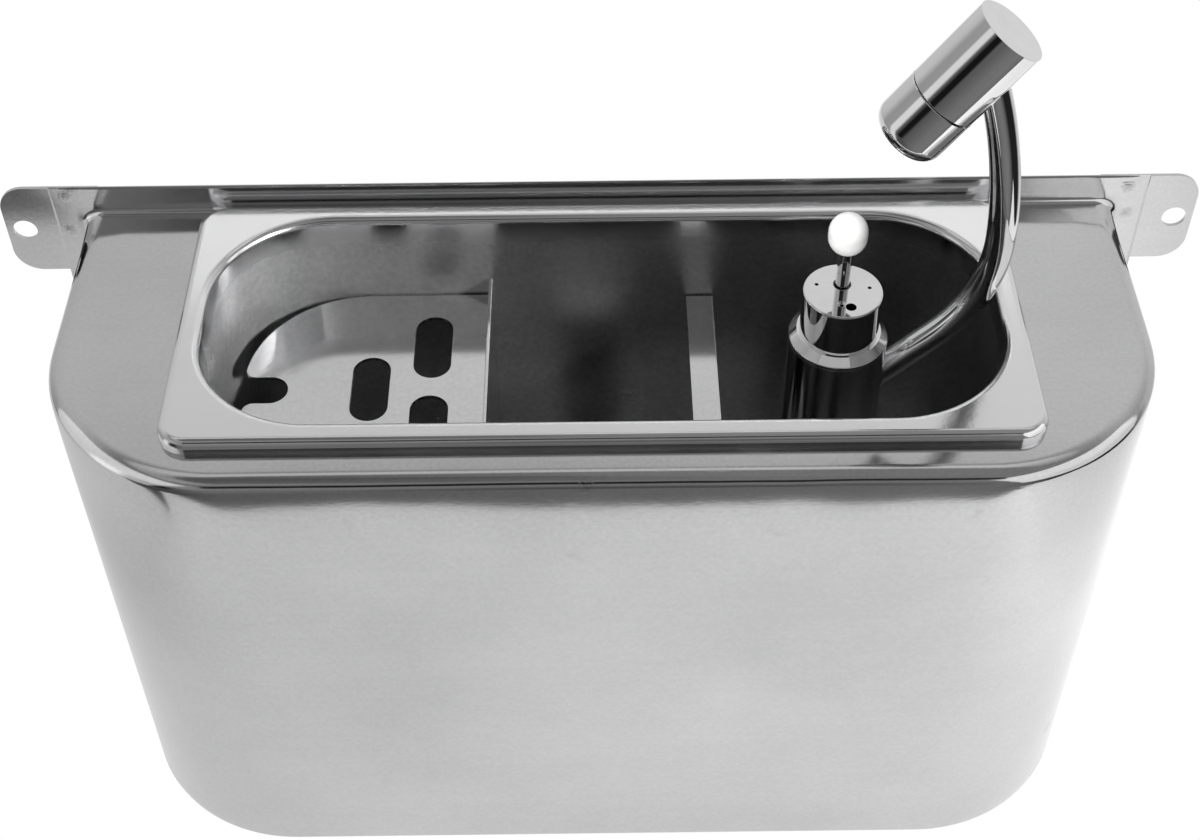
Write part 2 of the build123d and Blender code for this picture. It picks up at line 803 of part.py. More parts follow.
# Collar: coned shoulder, threaded bore and the ledge that carries the valve insert
shoulder_radius = cap_radius + collar_land
with BuildPart() as column_collar:
    with BuildSketch(column_plane):
        Polygon(
            (collar_bore_radius, collar_top),
            (shoulder_radius, collar_top),
            (column_radius, collar_top - collar_cone_drop),
            (column_radius, tube_top),
            (tube_bore_radius - seat_gap, tube_top),
            (tube_bore_radius - seat_gap, tube_top - collar_spigot_length),
            (collar_ledge_radius, tube_top - collar_spigot_length),
            (collar_ledge_radius, ledge_z),
            (collar_bore_radius, ledge_z),
            align=None,
        )
    revolve(axis=column_axis)
    cone_edges = column_collar.edges().filter_by(GeomType.CIRCLE).group_by(Axis.Z)[-2]
    fillet(cone_edges.sort_by(SortBy.RADIUS)[-1], collar_cone_drop / 4)
column_collar.part.label = "column_collar"

# Valve insert: domed seat about the lever's pivot, one port and three outlets
insert_bottom = ledge_z
seat_form_radius = seat_radius + seat_gap
with BuildPart() as valve_insert:
    with BuildSketch(column_plane):
        with Locations((insert_radius / 2, (insert_top + insert_bottom) / 2)):
            Rectangle(insert_radius, insert_top - insert_bottom)
        with Locations((insert_radius, insert_bottom + insert_groove_lift)):
            Rectangle(
                2 * insert_groove_depth, insert_groove_depth + 2 * seat_gap, mode=Mode.SUBTRACT
            )
    revolve(axis=column_axis)
    with BuildSketch(pivot_plane):
        with BuildLine():
            CenterArc((0, 0), seat_form_radius, -90, 90)
            Line((seat_form_radius, 0), (0, 0))
            Line((0, 0), (0, -seat_form_radius))
        make_face()
    revolve(axis=lever_axis, mode=Mode.SUBTRACT)
    with BuildSketch(level_plane(column_x, lever_y, insert_bottom)):
        Circle(riser_radius + seat_gap)
    extrude(amount=riser_socket, mode=Mode.SUBTRACT)
    with BuildSketch(level_plane(column_x, lever_y, insert_bottom)):
        Circle(insert_port_radius)
    extrude(amount=insert_top - insert_bottom, mode=Mode.SUBTRACT)
    with BuildSketch(level_plane(column_x, column_y, insert_bottom)):
        with PolarLocations(
            insert_outlet_ring,
            insert_outlet_count,
            start_angle=-90 - insert_outlet_step,
            angular_range=2 * insert_outlet_step,
            endpoint=True,
        ):
            Circle(insert_outlet_radius)
    extrude(amount=insert_top - insert_bottom, mode=Mode.SUBTRACT)
valve_insert.part.label = "valve_insert"

with BuildPart() as insert_seal:
    with BuildSketch(column_plane):
        seal_middle = insert_radius - insert_groove_depth / 2
        with Locations((seal_middle, insert_bottom + insert_groove_lift)):
            Circle(insert_groove_depth / 2)
    revolve(axis=column_axis)
insert_seal.part.label = "insert_seal"

with BuildPart() as riser_tube:
    with BuildSketch(level_plane(column_x, lever_y, shank_top)):
        Circle(riser_radius)
        Circle(riser_radius - riser_wall, mode=Mode.SUBTRACT)
    extrude(amount=insert_bottom + riser_socket - shank_top)
riser_tube.part.label = "riser_tube"

# Spray cap: turned cap with the lever's hole, its spherical socket, jets and a port
socket_radius = bush_radius + tilt_gap
socket_neck = sqrt(socket_radius**2 - socket_zone_height**2)
cap_ceiling = pivot_z - socket_depth
cap_groove = cap_shoulder - cap_groove_drop
cap_seal_section = head_seal_section
with BuildPart() as spray_cap:
    with BuildSketch(column_plane):
        Polygon(
            (0, cap_ceiling),
            (cap_bore_radius, cap_ceiling),
            (cap_bore_radius, cap_shoulder - cap_spigot_length),
            (cap_spigot_radius, cap_shoulder - cap_spigot_length),
            (cap_spigot_radius, cap_shoulder),
            (cap_radius, cap_shoulder),
            (cap_radius, cap_top),
            (0, cap_top),
            align=None,
        )
        with Locations((cap_spigot_radius, cap_groove)):
            Rectangle(2 * cap_seal_section, cap_seal_section + 2 * seat_gap, mode=Mode.SUBTRACT)
    revolve(axis=column_axis)
    crown_edge = spray_cap.edges().filter_by(GeomType.CIRCLE).sort_by(Axis.Z)[-1]
    fillet(crown_edge, cap_edge_radius)
    with BuildSketch(pivot_plane):
        with BuildLine():
            Polyline(
                (socket_neck, socket_zone_height),
                (socket_neck, socket_roof_height),
                (lever_hole_radius, socket_roof_height),
                (lever_hole_radius, pivot_depth + overrun),
                (0, pivot_depth + overrun),
                (0, -socket_depth - overrun),
                (socket_radius, -socket_depth - overrun),
                (socket_radius, 0),
            )
            zone_angle = degrees(atan2(socket_zone_height, socket_neck))
            CenterArc((0, 0), socket_radius, 0, zone_angle)
        make_face()
    revolve(axis=lever_axis, mode=Mode.SUBTRACT)
    with BuildSketch(level_plane(column_x, column_y, cap_ceiling)):
        for x_share, y_share in jet_place_shares:
            with Locations((x_share * cap_radius, y_share * cap_radius)):
                Circle(jet_radius)
        with Locations(tuple(share * cap_radius for share in port_place_shares)):
            Circle(port_radius)
    extrude(amount=cap_top - cap_ceiling + overrun, mode=Mode.SUBTRACT)
    sink_x, sink_y = (share * cap_radius for share in jet_place_shares[-1])
    with BuildSketch(level_plane(column_x + sink_x, column_y + sink_y, cap_top)):
        Circle(jet_sink_radius)
    extrude(amount=-jet_radius, taper=45, mode=Mode.SUBTRACT)
spray_cap.part.label = "spray_cap"

with BuildPart() as cap_seal:
    with BuildSketch(column_plane):
        with Locations((cap_spigot_radius - cap_seal_section / 2, cap_groove)):
            Circle(cap_seal_section / 2)
    revolve(axis=column_axis)
cap_seal.part.label = "cap_seal"

# Swivel bush: spherical outside, spherical seat inside and bell mouths at both ends
bush_rim = sqrt(bush_radius**2 - bush_half_height**2)
ball_seat_radius = ball_radius + tilt_gap
ball_seat_rim = sqrt(ball_seat_radius**2 - bush_seat_half_height**2)
with BuildPart() as swivel_bush:
    with BuildSketch(pivot_plane):
        with BuildLine():
            RadiusArc((bush_rim, bush_half_height), (bush_rim, -bush_half_height), bush_radius)
            Polyline(
                (bush_rim, -bush_half_height),
                (bush_mouth_radius, -bush_half_height),
                (ball_seat_rim, -bush_seat_half_height),
            )
            RadiusArc(
                (ball_seat_rim, -bush_seat_half_height),
                (ball_seat_rim, bush_seat_half_height),
                -ball_seat_radius,
            )
            Polyline(
                (ball_seat_rim, bush_seat_half_height),
                (bush_mouth_radius, bush_half_height),
                (bush_rim, bush_half_height),
            )
        make_face()
    revolve(axis=lever_axis)
swivel_bush.part.label = "swivel_bush"

# Lever rod: stud, rod, pivot ball and tail turned in one piece
ball_top = sqrt(ball_radius**2 - rod_radius**2)
ball_bottom = -sqrt(ball_radius**2 - tail_radius**2)
knob_flat_height = sqrt(knob_radius**2 - knob_flat_radius**2) + knob_band / 2
knob_bottom = knob_centre_height - knob_flat_height
with BuildPart() as lever_rod:
    with BuildSketch(pivot_plane):
        with BuildLine():
            Polyline(
                (rod_radius, ball_top),
                (rod_radius, knob_bottom),
                (stud_radius, knob_bottom),
                (stud_radius, knob_centre_height),
                (0, knob_centre_height),
                (0, -tail_length),
                (tail_radius, -tail_length),
                (tail_radius, ball_bottom),
            )
            RadiusArc((rod_radius, ball_top), (tail_radius, ball_bottom), ball_radius)
        make_face()
    revolve(axis=lever_axis)
lever_rod.part.label = "lever_rod"

# Knob: a ball cut by a short cylindrical band, bored for the rod's stud
with BuildPart() as lever_knob:
    with BuildSketch(pivot_plane):
        with BuildLine():
            band_top = knob_centre_height + knob_band / 2
            band_bottom = knob_centre_height - knob_band / 2
            flat_angle = degrees(atan2(knob_flat_height - knob_band / 2, knob_flat_radius))
            Line((knob_radius, band_bottom), (knob_radius, band_top))
            CenterArc((0, band_top), knob_radius, 0, 90)
            Line((0, band_top + knob_radius), (0, knob_bottom))
            Line((0, knob_bottom), (knob_flat_radius, knob_bottom))
            CenterArc((0, band_bottom), knob_radius, -flat_angle, flat_angle)
        make_face()
        with Locations((0, (knob_bottom + knob_centre_height) / 2)):
            Rectangle(
                2 * (stud_radius + thread_gap),
                knob_centre_height - knob_bottom + 2 * seat_gap,
                mode=Mode.SUBTRACT,
            )
    revolve(axis=lever_axis)
lever_knob.part.label = "lever_knob"

# Valve shoe: domed about the pivot, with a sealing pad, a groove and vents
with BuildPart() as valve_shoe:
    with BuildSketch(pivot_plane):
        shoe_rim = sqrt(seat_radius**2 - shoe_radius**2)
        with BuildLine():
            Polyline(
                (0, -seat_radius),
                (0, -tail_length - seat_gap),
                (tail_radius + seat_gap, -tail_length - seat_gap),
                (tail_radius + seat_gap, shoe_hub_height - shoe_top_depth),
                (shoe_hub_radius, shoe_hub_height - shoe_top_depth),
                (shoe_hub_radius, -shoe_top_depth),
                (shoe_radius, -shoe_top_depth),
                (shoe_radius, -shoe_rim),
            )
            RadiusArc((shoe_radius, -shoe_rim), (0, -seat_radius), seat_radius)
        make_face()
    revolve(axis=lever_axis)
    groove_floor = pivot_z - seat_radius + shoe_groove_depth
    with BuildSketch(level_plane(column_x, lever_y, groove_floor)):
        Circle(shoe_groove_radius)
        Circle(shoe_pad_radius, mode=Mode.SUBTRACT)
    extrude(amount=-2 * shoe_groove_depth, mode=Mode.SUBTRACT)
    with BuildSketch(level_plane(column_x, lever_y, groove_floor)):
        with PolarLocations((shoe_pad_radius + shoe_groove_radius) / 2, shoe_vent_count):
            Circle(shoe_vent_radius)
    extrude(amount=seat_radius - shoe_top_depth, mode=Mode.SUBTRACT)
valve_shoe.part.label = "valve_shoe"

# Return spring, between the bush and the shoe
spring_bottom = -shoe_top_depth + spring_wire / 2 + seat_gap
spring_top = -bush_half_height - spring_wire / 2 - seat_gap
with BuildPart() as return_spring:
    with BuildLine(level_plane(column_x, lever_y, pivot_z + spring_bottom)) as coil:
        Helix(
            pitch=(spring_top - spring_bottom) / spring_turns,
            height=spring_top - spring_bottom,
            radius=spring_radius,
        )
    with BuildSketch(Plane(origin=coil.line @ 0, z_dir=coil.line % 0)):
        Circle(spring_wire / 2)
    sweep(is_frenet=True)
return_spring.part.label = "return_spring"

# Spray head, turned about its own slanted axis
head_angle = radians(head_tilt)
head_up = (sin(head_angle), 0, cos(head_angle))
head_across = (cos(head_angle), 0, -sin(head_angle))
head_top = (
    arm_end_x + head_entry * head_up[0],
    column_y,
    arm_end_z + head_entry * head_up[2],
)
head_plane = Plane(origin=head_top, x_dir=head_across, z_dir=(0, -1, 0))
head_axis = Axis(head_top, head_up)


def head_level(depth):
    """A plane across the head at a depth under its top face, facing down its axis."""
    origin = tuple(top - depth * up for top, up in zip(head_top, head_up))
    return Plane(origin=origin, x_dir=head_across, z_dir=tuple(-up for up in head_up))


with BuildPart() as head_body:
    with BuildSketch(head_plane):
        Polygon(
            (0, 0),
            (head_radius, 0),
            (head_radius, head_seam_chamfer - head_seam),
            (head_radius - head_seam_chamfer, -head_seam),
            (head_bore_radius, -head_seam),
            (head_bore_radius, -head_top_thickness),
            (0, -head_top_thickness),
            align=None,
        )
    revolve(axis=head_axis)
    outer_rim = head_body.edges().filter_by(GeomType.CIRCLE).sort_by_distance(head_top)
    fillet(outer_rim[0], head_edge_radius)
    with BuildLine(arm_plane) as entry_route:
        JernArc(
            start=elbow_end,
            tangent=(cos(elbow_end_angle), sin(elbow_end_angle)),
            radius=upper_radius,
            arc_size=upper_turn,
        )
    with BuildSketch(Plane(origin=entry_route.line @ 0, z_dir=entry_route.line % 0)):
        Circle(arm_radius + arm_hole_gap)
    sweep(mode=Mode.SUBTRACT)
head_body.part.label = "head_body"

nozzle_top = head_seam + head_seam_gap
spigot_top = nozzle_top - nozzle_spigot_length
bore_bottom = head_length - nozzle_floor
disc_top = spigot_top + disc_drop
head_groove = spigot_top + nozzle_spigot_length * head_groove_share
with BuildPart() as head_nozzle:
    with BuildSketch(head_plane):
        with BuildLine():
            Polyline(
                (head_radius, head_nose_radius - head_length),
                (head_radius, -nozzle_top - head_seam_chamfer),
                (head_radius - head_seam_chamfer, -nozzle_top),
                (nozzle_spigot_radius, -nozzle_top),
                (nozzle_spigot_radius, -spigot_top),
                (nozzle_bore_radius, -spigot_top),
                (nozzle_bore_radius, -disc_top - disc_thickness),
                (nozzle_bore_radius - disc_ledge, -disc_top - disc_thickness),
                (nozzle_bore_radius - disc_ledge, nozzle_floor_radius - bore_bottom),
            )
            CenterArc(
                (
                    nozzle_bore_radius - disc_ledge - nozzle_floor_radius,
                    nozzle_floor_radius - bore_bottom,
                ),
                nozzle_floor_radius,
                -90,
                90,
            )
            Polyline(
                (nozzle_bore_radius - disc_ledge - nozzle_floor_radius, -bore_bottom),
                (0, -bore_bottom),
                (0, -head_length),
                (head_radius - head_nose_radius, -head_length),
            )
            CenterArc(
                (head_radius - head_nose_radius, head_nose_radius - head_length),
                head_nose_radius,
                -90,
                90,
            )
        make_face()
        with Locations((nozzle_spigot_radius, -head_groove)):
            Rectangle(2 * head_seal_section, head_seal_section + 2 * seat_gap, mode=Mode.SUBTRACT)
    revolve(axis=head_axis)
    with BuildSketch(head_level(bore_bottom)):
        with PolarLocations(nozzle_inner_ring, nozzle_inner_count):
            Circle(nozzle_hole_radius)
    extrude(amount=nozzle_floor + overrun, mode=Mode.SUBTRACT)
    ring_angle = radians(nozzle_ring_angle)
    nose_centre = head_level(head_length - head_nose_radius)
    for turn in range(nozzle_ring_count):
        spin = 2 * pi * turn / nozzle_ring_count
        ring_direction = (
            nose_centre.x_dir * (cos(spin) * cos(ring_angle))
            + nose_centre.y_dir * (sin(spin) * cos(ring_angle))
            + nose_centre.z_dir * sin(ring_angle)
        )
        hole_start = nose_centre.origin + (
            nose_centre.x_dir * cos(spin) + nose_centre.y_dir * sin(spin)
        ) * (head_radius - head_nose_radius)
        with BuildSketch(Plane(origin=hole_start, z_dir=ring_direction)):
            Circle(nozzle_hole_radius)
        extrude(amount=head_nose_radius + overrun, mode=Mode.SUBTRACT)
head_nozzle.part.label = "head_nozzle"

with BuildPart() as head_seal:
    with BuildSketch(head_plane):
        with Locations((nozzle_spigot_radius - head_seal_section / 2, -head_groove)):
            Circle(head_seal_section / 2)
    revolve(axis=head_axis)
head_seal.part.label = "head_seal"

with BuildPart() as diffuser_disc:
    with BuildSketch(head_level(disc_top)):
        Circle(nozzle_bore_radius - seat_gap)
        with PolarLocations(nozzle_bore_radius * disc_hole_ring_share, disc_hole_count):
            Circle(disc_hole_radius, mode=Mode.SUBTRACT)
        Circle(disc_hole_radius, mode=Mode.SUBTRACT)
    extrude(amount=disc_thickness)
diffuser_disc.part.label = "diffuser_disc"

# Each piece goes to its own file
pieces = [
    housing,
    ear_left,
    ear_right,
    basin,
    scoop_rest,
    rest_leg,
    splash_partition,
    waste_flange,
    waste_gasket,
    waste_washer,
    waste_locknut,
    standpipe,
    standpipe_seal,
    overflow_strainer,
    column_gasket,
    column_base,
    column_tube,
    column_collar,
    column_washer,
    column_locknut,
    supply_shank,
    riser_tube,
    valve_insert,
    insert_seal,
    spray_cap,
    cap_seal,
    swivel_bush,
    lever_rod,
    lever_knob,
    valve_shoe,
    return_spring,
    arm_tube,
    head_body,
    head_nozzle,
    head_seal,
    diffuser_disc,
]
os.makedirs("parts", exist_ok=True)
for piece in pieces:
    export_step(piece.part, f"parts/{piece.part.label}.step")
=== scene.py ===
"""A wall-hung dipper well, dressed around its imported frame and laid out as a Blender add-on."""

from math import atan2, cos, exp, pi, radians, sin, sqrt

import bmesh
import bpy
from bpy.props import FloatProperty, FloatVectorProperty, IntProperty, PointerProperty
from mathutils import Matrix, Vector, noise


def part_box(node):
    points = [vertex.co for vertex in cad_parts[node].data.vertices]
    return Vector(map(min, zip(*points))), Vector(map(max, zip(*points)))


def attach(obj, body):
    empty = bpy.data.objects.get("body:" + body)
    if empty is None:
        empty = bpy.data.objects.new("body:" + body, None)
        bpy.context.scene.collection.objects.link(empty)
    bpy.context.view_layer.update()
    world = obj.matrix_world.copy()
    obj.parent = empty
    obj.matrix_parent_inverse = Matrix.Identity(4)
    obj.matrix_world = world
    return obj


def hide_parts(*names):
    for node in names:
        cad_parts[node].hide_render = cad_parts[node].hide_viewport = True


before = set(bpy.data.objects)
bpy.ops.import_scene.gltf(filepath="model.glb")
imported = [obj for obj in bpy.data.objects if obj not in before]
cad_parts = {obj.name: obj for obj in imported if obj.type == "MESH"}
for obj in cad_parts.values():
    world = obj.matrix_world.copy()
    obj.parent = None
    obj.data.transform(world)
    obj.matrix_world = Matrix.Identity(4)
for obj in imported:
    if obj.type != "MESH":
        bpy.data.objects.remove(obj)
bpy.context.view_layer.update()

bl_info = {
    "name": "Dipper Well",
    "version": (1, 0, 0),
    "blender": (4, 5, 0),
    "location": "View3D > Sidebar > Dipper Well",
    "description": "Skins, finishes and stage of a wall-hung dipper well",
    "category": "Object",
}

# The arm's radius and slope at the column, and the height where its middle line crosses the column's
ARM_RADIUS, ARM_RISE, ARM_START = 0.0056, radians(45.2), -0.0357
# Where solder blobs sit on the arm, and their scales
BLOB_PLACES = (
    (Vector((0.1181, -0.0745, -0.0026)), 1.0),
    (Vector((0.1203, -0.0742, -0.0002)), 0.75),
)
# Points round the arm's foot, and faces round its bead and round the spring's wire
FOOT_POINTS, BEAD_SIDES, WIRE_SIDES = 48, 10, 8

housing_low, housing_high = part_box("housing")
tube_low, tube_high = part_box("column_tube")


class HousingSizes(bpy.types.PropertyGroup):
    """Sizes of the pressed housing's skin."""

    width: FloatProperty(
        name="Body width",
        description="Width of the body between its side walls",
        default=0.423,
        unit="LENGTH",
    )
    depth: FloatProperty(
        name="Body depth",
        description="From the wall to the front of the apron",
        default=-housing_low.y,
        unit="LENGTH",
    )
    corner_radius: FloatProperty(
        name="Corner radius",
        description="Radius of the apron's two front corners",
        default=0.073,
        unit="LENGTH",
    )
    sheet: FloatProperty(
        name="Sheet", description="Thickness of the sheet", default=0.0012, unit="LENGTH"
    )
    upstand: FloatProperty(
        name="Upstand",
        description="Height of the rear upstand above the deck",
        default=0.0134,
        unit="LENGTH",
    )
    bend_radius: FloatProperty(
        name="Bend depth",
        description="How far down the apron the bend from the deck runs",
        default=0.005,
        unit="LENGTH",
    )
    bend_reach: FloatProperty(
        name="Bend reach",
        description="How far in from the apron's face the deck starts to fall away",
        default=0.008,
        unit="LENGTH",
    )
    cove_radius: FloatProperty(
        name="Cove radius",
        description="Radius between the body and its rear flange",
        default=0.0025,
        unit="LENGTH",
    )
    hem_width: FloatProperty(
        name="Hem width", description="Width of the turned-in bottom edge", default=0.012, unit="LENGTH"
    )
    hem_radius: FloatProperty(
        name="Hem radius", description="Radius of the bottom edge's bend", default=0.0018, unit="LENGTH"
    )
    pull_depth: FloatProperty(
        name="Bend pull",
        description="How far the sheet draws in just below the front bend",
        default=0.0003,
        unit="LENGTH",
    )
    pull_reach: FloatProperty(
        name="Bend pull reach",
        description="How far below the bend the drawn-in sheet runs out",
        default=0.0045,
        unit="LENGTH",
    )
    wave_depth: FloatProperty(
        name="Wave depth",
        description="Depth of the slow waves pressed into the apron",
        default=0.00012,
        unit="LENGTH",
    )
    edge_round: FloatProperty(
        name="Edge rounding",
        description="Width of the worn rounding along the flange's edges",
        default=0.0006,
        unit="LENGTH",
    )
    flange_steps: IntProperty(
        name="Flange steps", description="Rows of faces across the flange", default=4, min=1
    )
    opening_length: FloatProperty(
        name="Cut-out length",
        description="Length of the deck's cut-out for the basin",
        default=0.312,
        unit="LENGTH",
    )
    opening_width: FloatProperty(
        name="Cut-out width",
        description="Width of the deck's cut-out for the basin",
        default=0.1174,
        unit="LENGTH",
    )
    opening_radius: FloatProperty(
        name="Cut-out radius",
        description="Corner radius of the deck's cut-out",
        default=0.0488,
        unit="LENGTH",
    )


class WeldSizes(bpy.types.PropertyGroup):
    """Sizes of the weld and solder marks."""

    spot_radius: FloatProperty(
        name="Spot weld radius",
        description="Radius of the spot-weld marks on the flange",
        default=0.0022,
        unit="LENGTH",
    )
    bead_radius: FloatProperty(
        name="Solder bead radius",
        description="Radius of the solder beads where the arm is joined",
        default=0.00045,
        unit="LENGTH",
    )
    blob_size: FloatVectorProperty(
        name="Solder blob",
        description="Half length, half width and height of a solder blob on the arm",
        default=(0.0017, 0.0009, 0.00035),
        unit="LENGTH",
    )


class SpringSizes(bpy.types.PropertyGroup):
    """Sizes of the valve's return spring."""

    wire: FloatProperty(
        name="Wire", description="Thickness of the spring's wire", default=0.0008, unit="LENGTH"
    )
    turns: IntProperty(name="Turns", description="Turns of the spring", default=5, min=1)
    turn_steps: IntProperty(
        name="Steps per turn", description="Rings of faces in each turn", default=24, min=8
    )
    tilt_room: FloatProperty(
        name="Tilt room",
        description="How far the spring stops short of the bush, so that the lever can tilt",
        default=0.0004,
        unit="LENGTH",
    )


class FinishSettings(bpy.types.PropertyGroup):
    """Colours and roughnesses of the finishes."""

    steel_colour: FloatVectorProperty(
        name="Satin steel",
        description="Colour of the housing's satin steel",
        default=(0.66, 0.66, 0.665),
        subtype="COLOR",
        min=0.0,
        max=1.0,
    )
    pan_colour: FloatVectorProperty(
        name="Pan steel",
        description="Colour of the drawn basin's steel",
        default=(0.61, 0.61, 0.615),
        subtype="COLOR",
        min=0.0,
        max=1.0,
    )
    chrome_colour: FloatVectorProperty(
        name="Chrome",
        description="Colour of the chromed pieces",
        default=(0.86, 0.86, 0.865),
        subtype="COLOR",
        min=0.0,
        max=1.0,
    )
    brass_colour: FloatVectorProperty(
        name="Brass",
        description="Colour of the brass fittings",
        default=(0.62, 0.46, 0.2),
        subtype="COLOR",
        min=0.0,
        max=1.0,
    )
    rubber_colour: FloatVectorProperty(
        name="Rubber",
        description="Colour of the seals and gaskets",
        default=(0.025, 0.025, 0.027),
        subtype="COLOR",
        min=0.0,
        max=1.0,
    )
    knob_colour: FloatVectorProperty(
        name="Knob",
        description="Colour of the lever's knob",
        default=(0.9, 0.9, 0.89),
        subtype="COLOR",
        min=0.0,
        max=1.0,
    )
    bush_colour: FloatVectorProperty(
        name="Bush",
        description="Colour of the lever's bush and shoe",
        default=(0.72, 0.7, 0.64),
        subtype="COLOR",
        min=0.0,
        max=1.0,
    )
    steel_roughness: FloatProperty(
        name="Steel roughness",
        description="Roughness of the satin steel",
        default=0.11,
        subtype="FACTOR",
        min=0.0,
        max=1.0,
    )
    rim_polish: FloatProperty(
        name="Rim polish",
        description="Roughness of the basin's rim as a share of its walls' roughness",
        default=0.42,
        min=0.0,
    )
    # Painted light: how far the basin rim's colour is lifted above its walls' colour, standing in for the
    # light on the rim's top
    rim_painted_light_gain: FloatProperty(
        name="Rim gain",
        description="How much lighter the basin's rim is than its walls",
        default=1.36,
        min=0.0,
    )
    ear_roughness: FloatProperty(
        name="Ear roughness",
        description="Roughness of the wall ears",
        default=0.1,
        subtype="FACTOR",
        min=0.0,
        max=1.0,
    )
    pan_metal: FloatProperty(
        name="Pan metal",
        description="Share of the drawn basin's face that mirrors instead of scattering",
        default=0.93,
        subtype="FACTOR",
        min=0.0,
        max=1.0,
    )
    pan_roughness: FloatProperty(
        name="Pan roughness",
        description="Roughness of the drawn basin",
        default=0.3,
        subtype="FACTOR",
        min=0.0,
        max=1.0,
    )
    chrome_roughness: FloatProperty(
        name="Chrome roughness",
        description="Roughness of the chromed pieces",
        default=0.032,
        subtype="FACTOR",
        min=0.0,
        max=1.0,
    )


class StageSettings(bpy.types.PropertyGroup):
    """Camera, lamps and floor."""

    camera_place: FloatVectorProperty(
        name="Camera place",
        description="Where the camera stands",
        default=(-0.0021, -0.585, 0.5008),
        subtype="TRANSLATION",
        unit="LENGTH",
    )
    camera_yaw: FloatProperty(
        name="Camera yaw",
        description="Turn of the camera to the right",
        default=radians(0.13),
        subtype="ANGLE",
    )
    camera_pitch: FloatProperty(
        name="Camera pitch",
        description="How far the camera looks down",
        default=radians(46.75),
        subtype="ANGLE",
    )
    camera_roll: FloatProperty(
        name="Camera roll",
        description="Roll of the camera about its view",
        default=-0.010,
        subtype="ANGLE",
    )
    focal_length: FloatProperty(
        name="Focal length",
        description="Focal length in millimetres on a 36 mm frame",
        default=55.1,
        min=1.0,
    )
    key_power: FloatProperty(
        name="Key power", description="Power of the large overhead lamp", default=18.0, unit="POWER"
    )
    side_power: FloatProperty(
        name="Side power", description="Power of the lamp at the left", default=12.0, unit="POWER"
    )
    right_power: FloatProperty(
        name="Right kicker power",
        description="Power of the lamp that lights the sheet's bends from the right",
        default=4.6,
        unit="POWER",
    )
    pan_power: FloatProperty(
        name="Pan lamp power",
        description="Power of the lamp that shines into the basin from the right",
        default=0.26,
        unit="POWER",
    )
    rim_power: FloatProperty(
        name="Rim light",
        description="Power of the lamp behind, mirrored in the basin's rear rim",
        default=0.09,
        unit="POWER",
    )
    collar_power: FloatProperty(
        name="Collar light",
        description="Power of the lamp at the camera, mirrored in the column's collar",
        default=0.16,
        unit="POWER",
    )
    card_size: FloatVectorProperty(
        name="Card size",
        description="Half width and half height of the dark camera the metal mirrors",
        default=(0.36, 0.08),
        size=2,
        unit="LENGTH",
    )
    left_power: FloatProperty(
        name="Left kicker power",
        description="Power of the lamp that lights the sheet's bends from the left",
        default=2.5,
        unit="POWER",
    )
    floor_drop: FloatProperty(
        name="Floor drop",
        description="How far the floor lies below the object",
        default=0.012,
        unit="LENGTH",
    )
    floor_front: FloatProperty(
        name="Floor front edge",
        description="How far the pale floor reaches in front of the wall",
        default=0.375,
        unit="LENGTH",
    )
    floor_notch: FloatVectorProperty(
        name="Floor notch",
        description="Where the floor's edge steps back at the left, in X and Y",
        default=(-0.32, -0.293),
        size=2,
        unit="LENGTH",
    )
    floor_left: FloatProperty(
        name="Floor left edge",
        description="How far the pale floor reaches to the left",
        default=1.2,
        unit="LENGTH",
    )
    floor_right: FloatProperty(
        name="Floor right edge",
        description="How far the pale floor reaches to the right",
        default=0.56,
        unit="LENGTH",
    )
    floor_back: FloatProperty(
        name="Floor back edge",
        description="How far the pale floor reaches behind the wall",
        default=0.9,
        unit="LENGTH",
    )
    room_level: FloatProperty(
        name="Room level",
        description="Level of the room's light on plain surfaces",
        default=0.1,
        min=0.0,
    )
    room_gain: FloatProperty(
        name="Room gain",
        description="Gain of the light bands that the metal mirrors",
        default=1.0,
        min=0.0,
    )


class DipperWellSettings(bpy.types.PropertyGroup):
    """All the settings of the dipper well."""

    housing: PointerProperty(type=HousingSizes)
    welds: PointerProperty(type=WeldSizes)
    spring: PointerProperty(type=SpringSizes)
    finish: PointerProperty(type=FinishSettings)
    stage: PointerProperty(type=StageSettings)


def settings():
    return bpy.context.scene.dipper_well


# Node helpers

# How far the noise moves the edge of a mark, and how far worn edges are rounded
SWIRL, WORN_EDGE = 0.003, 0.0002


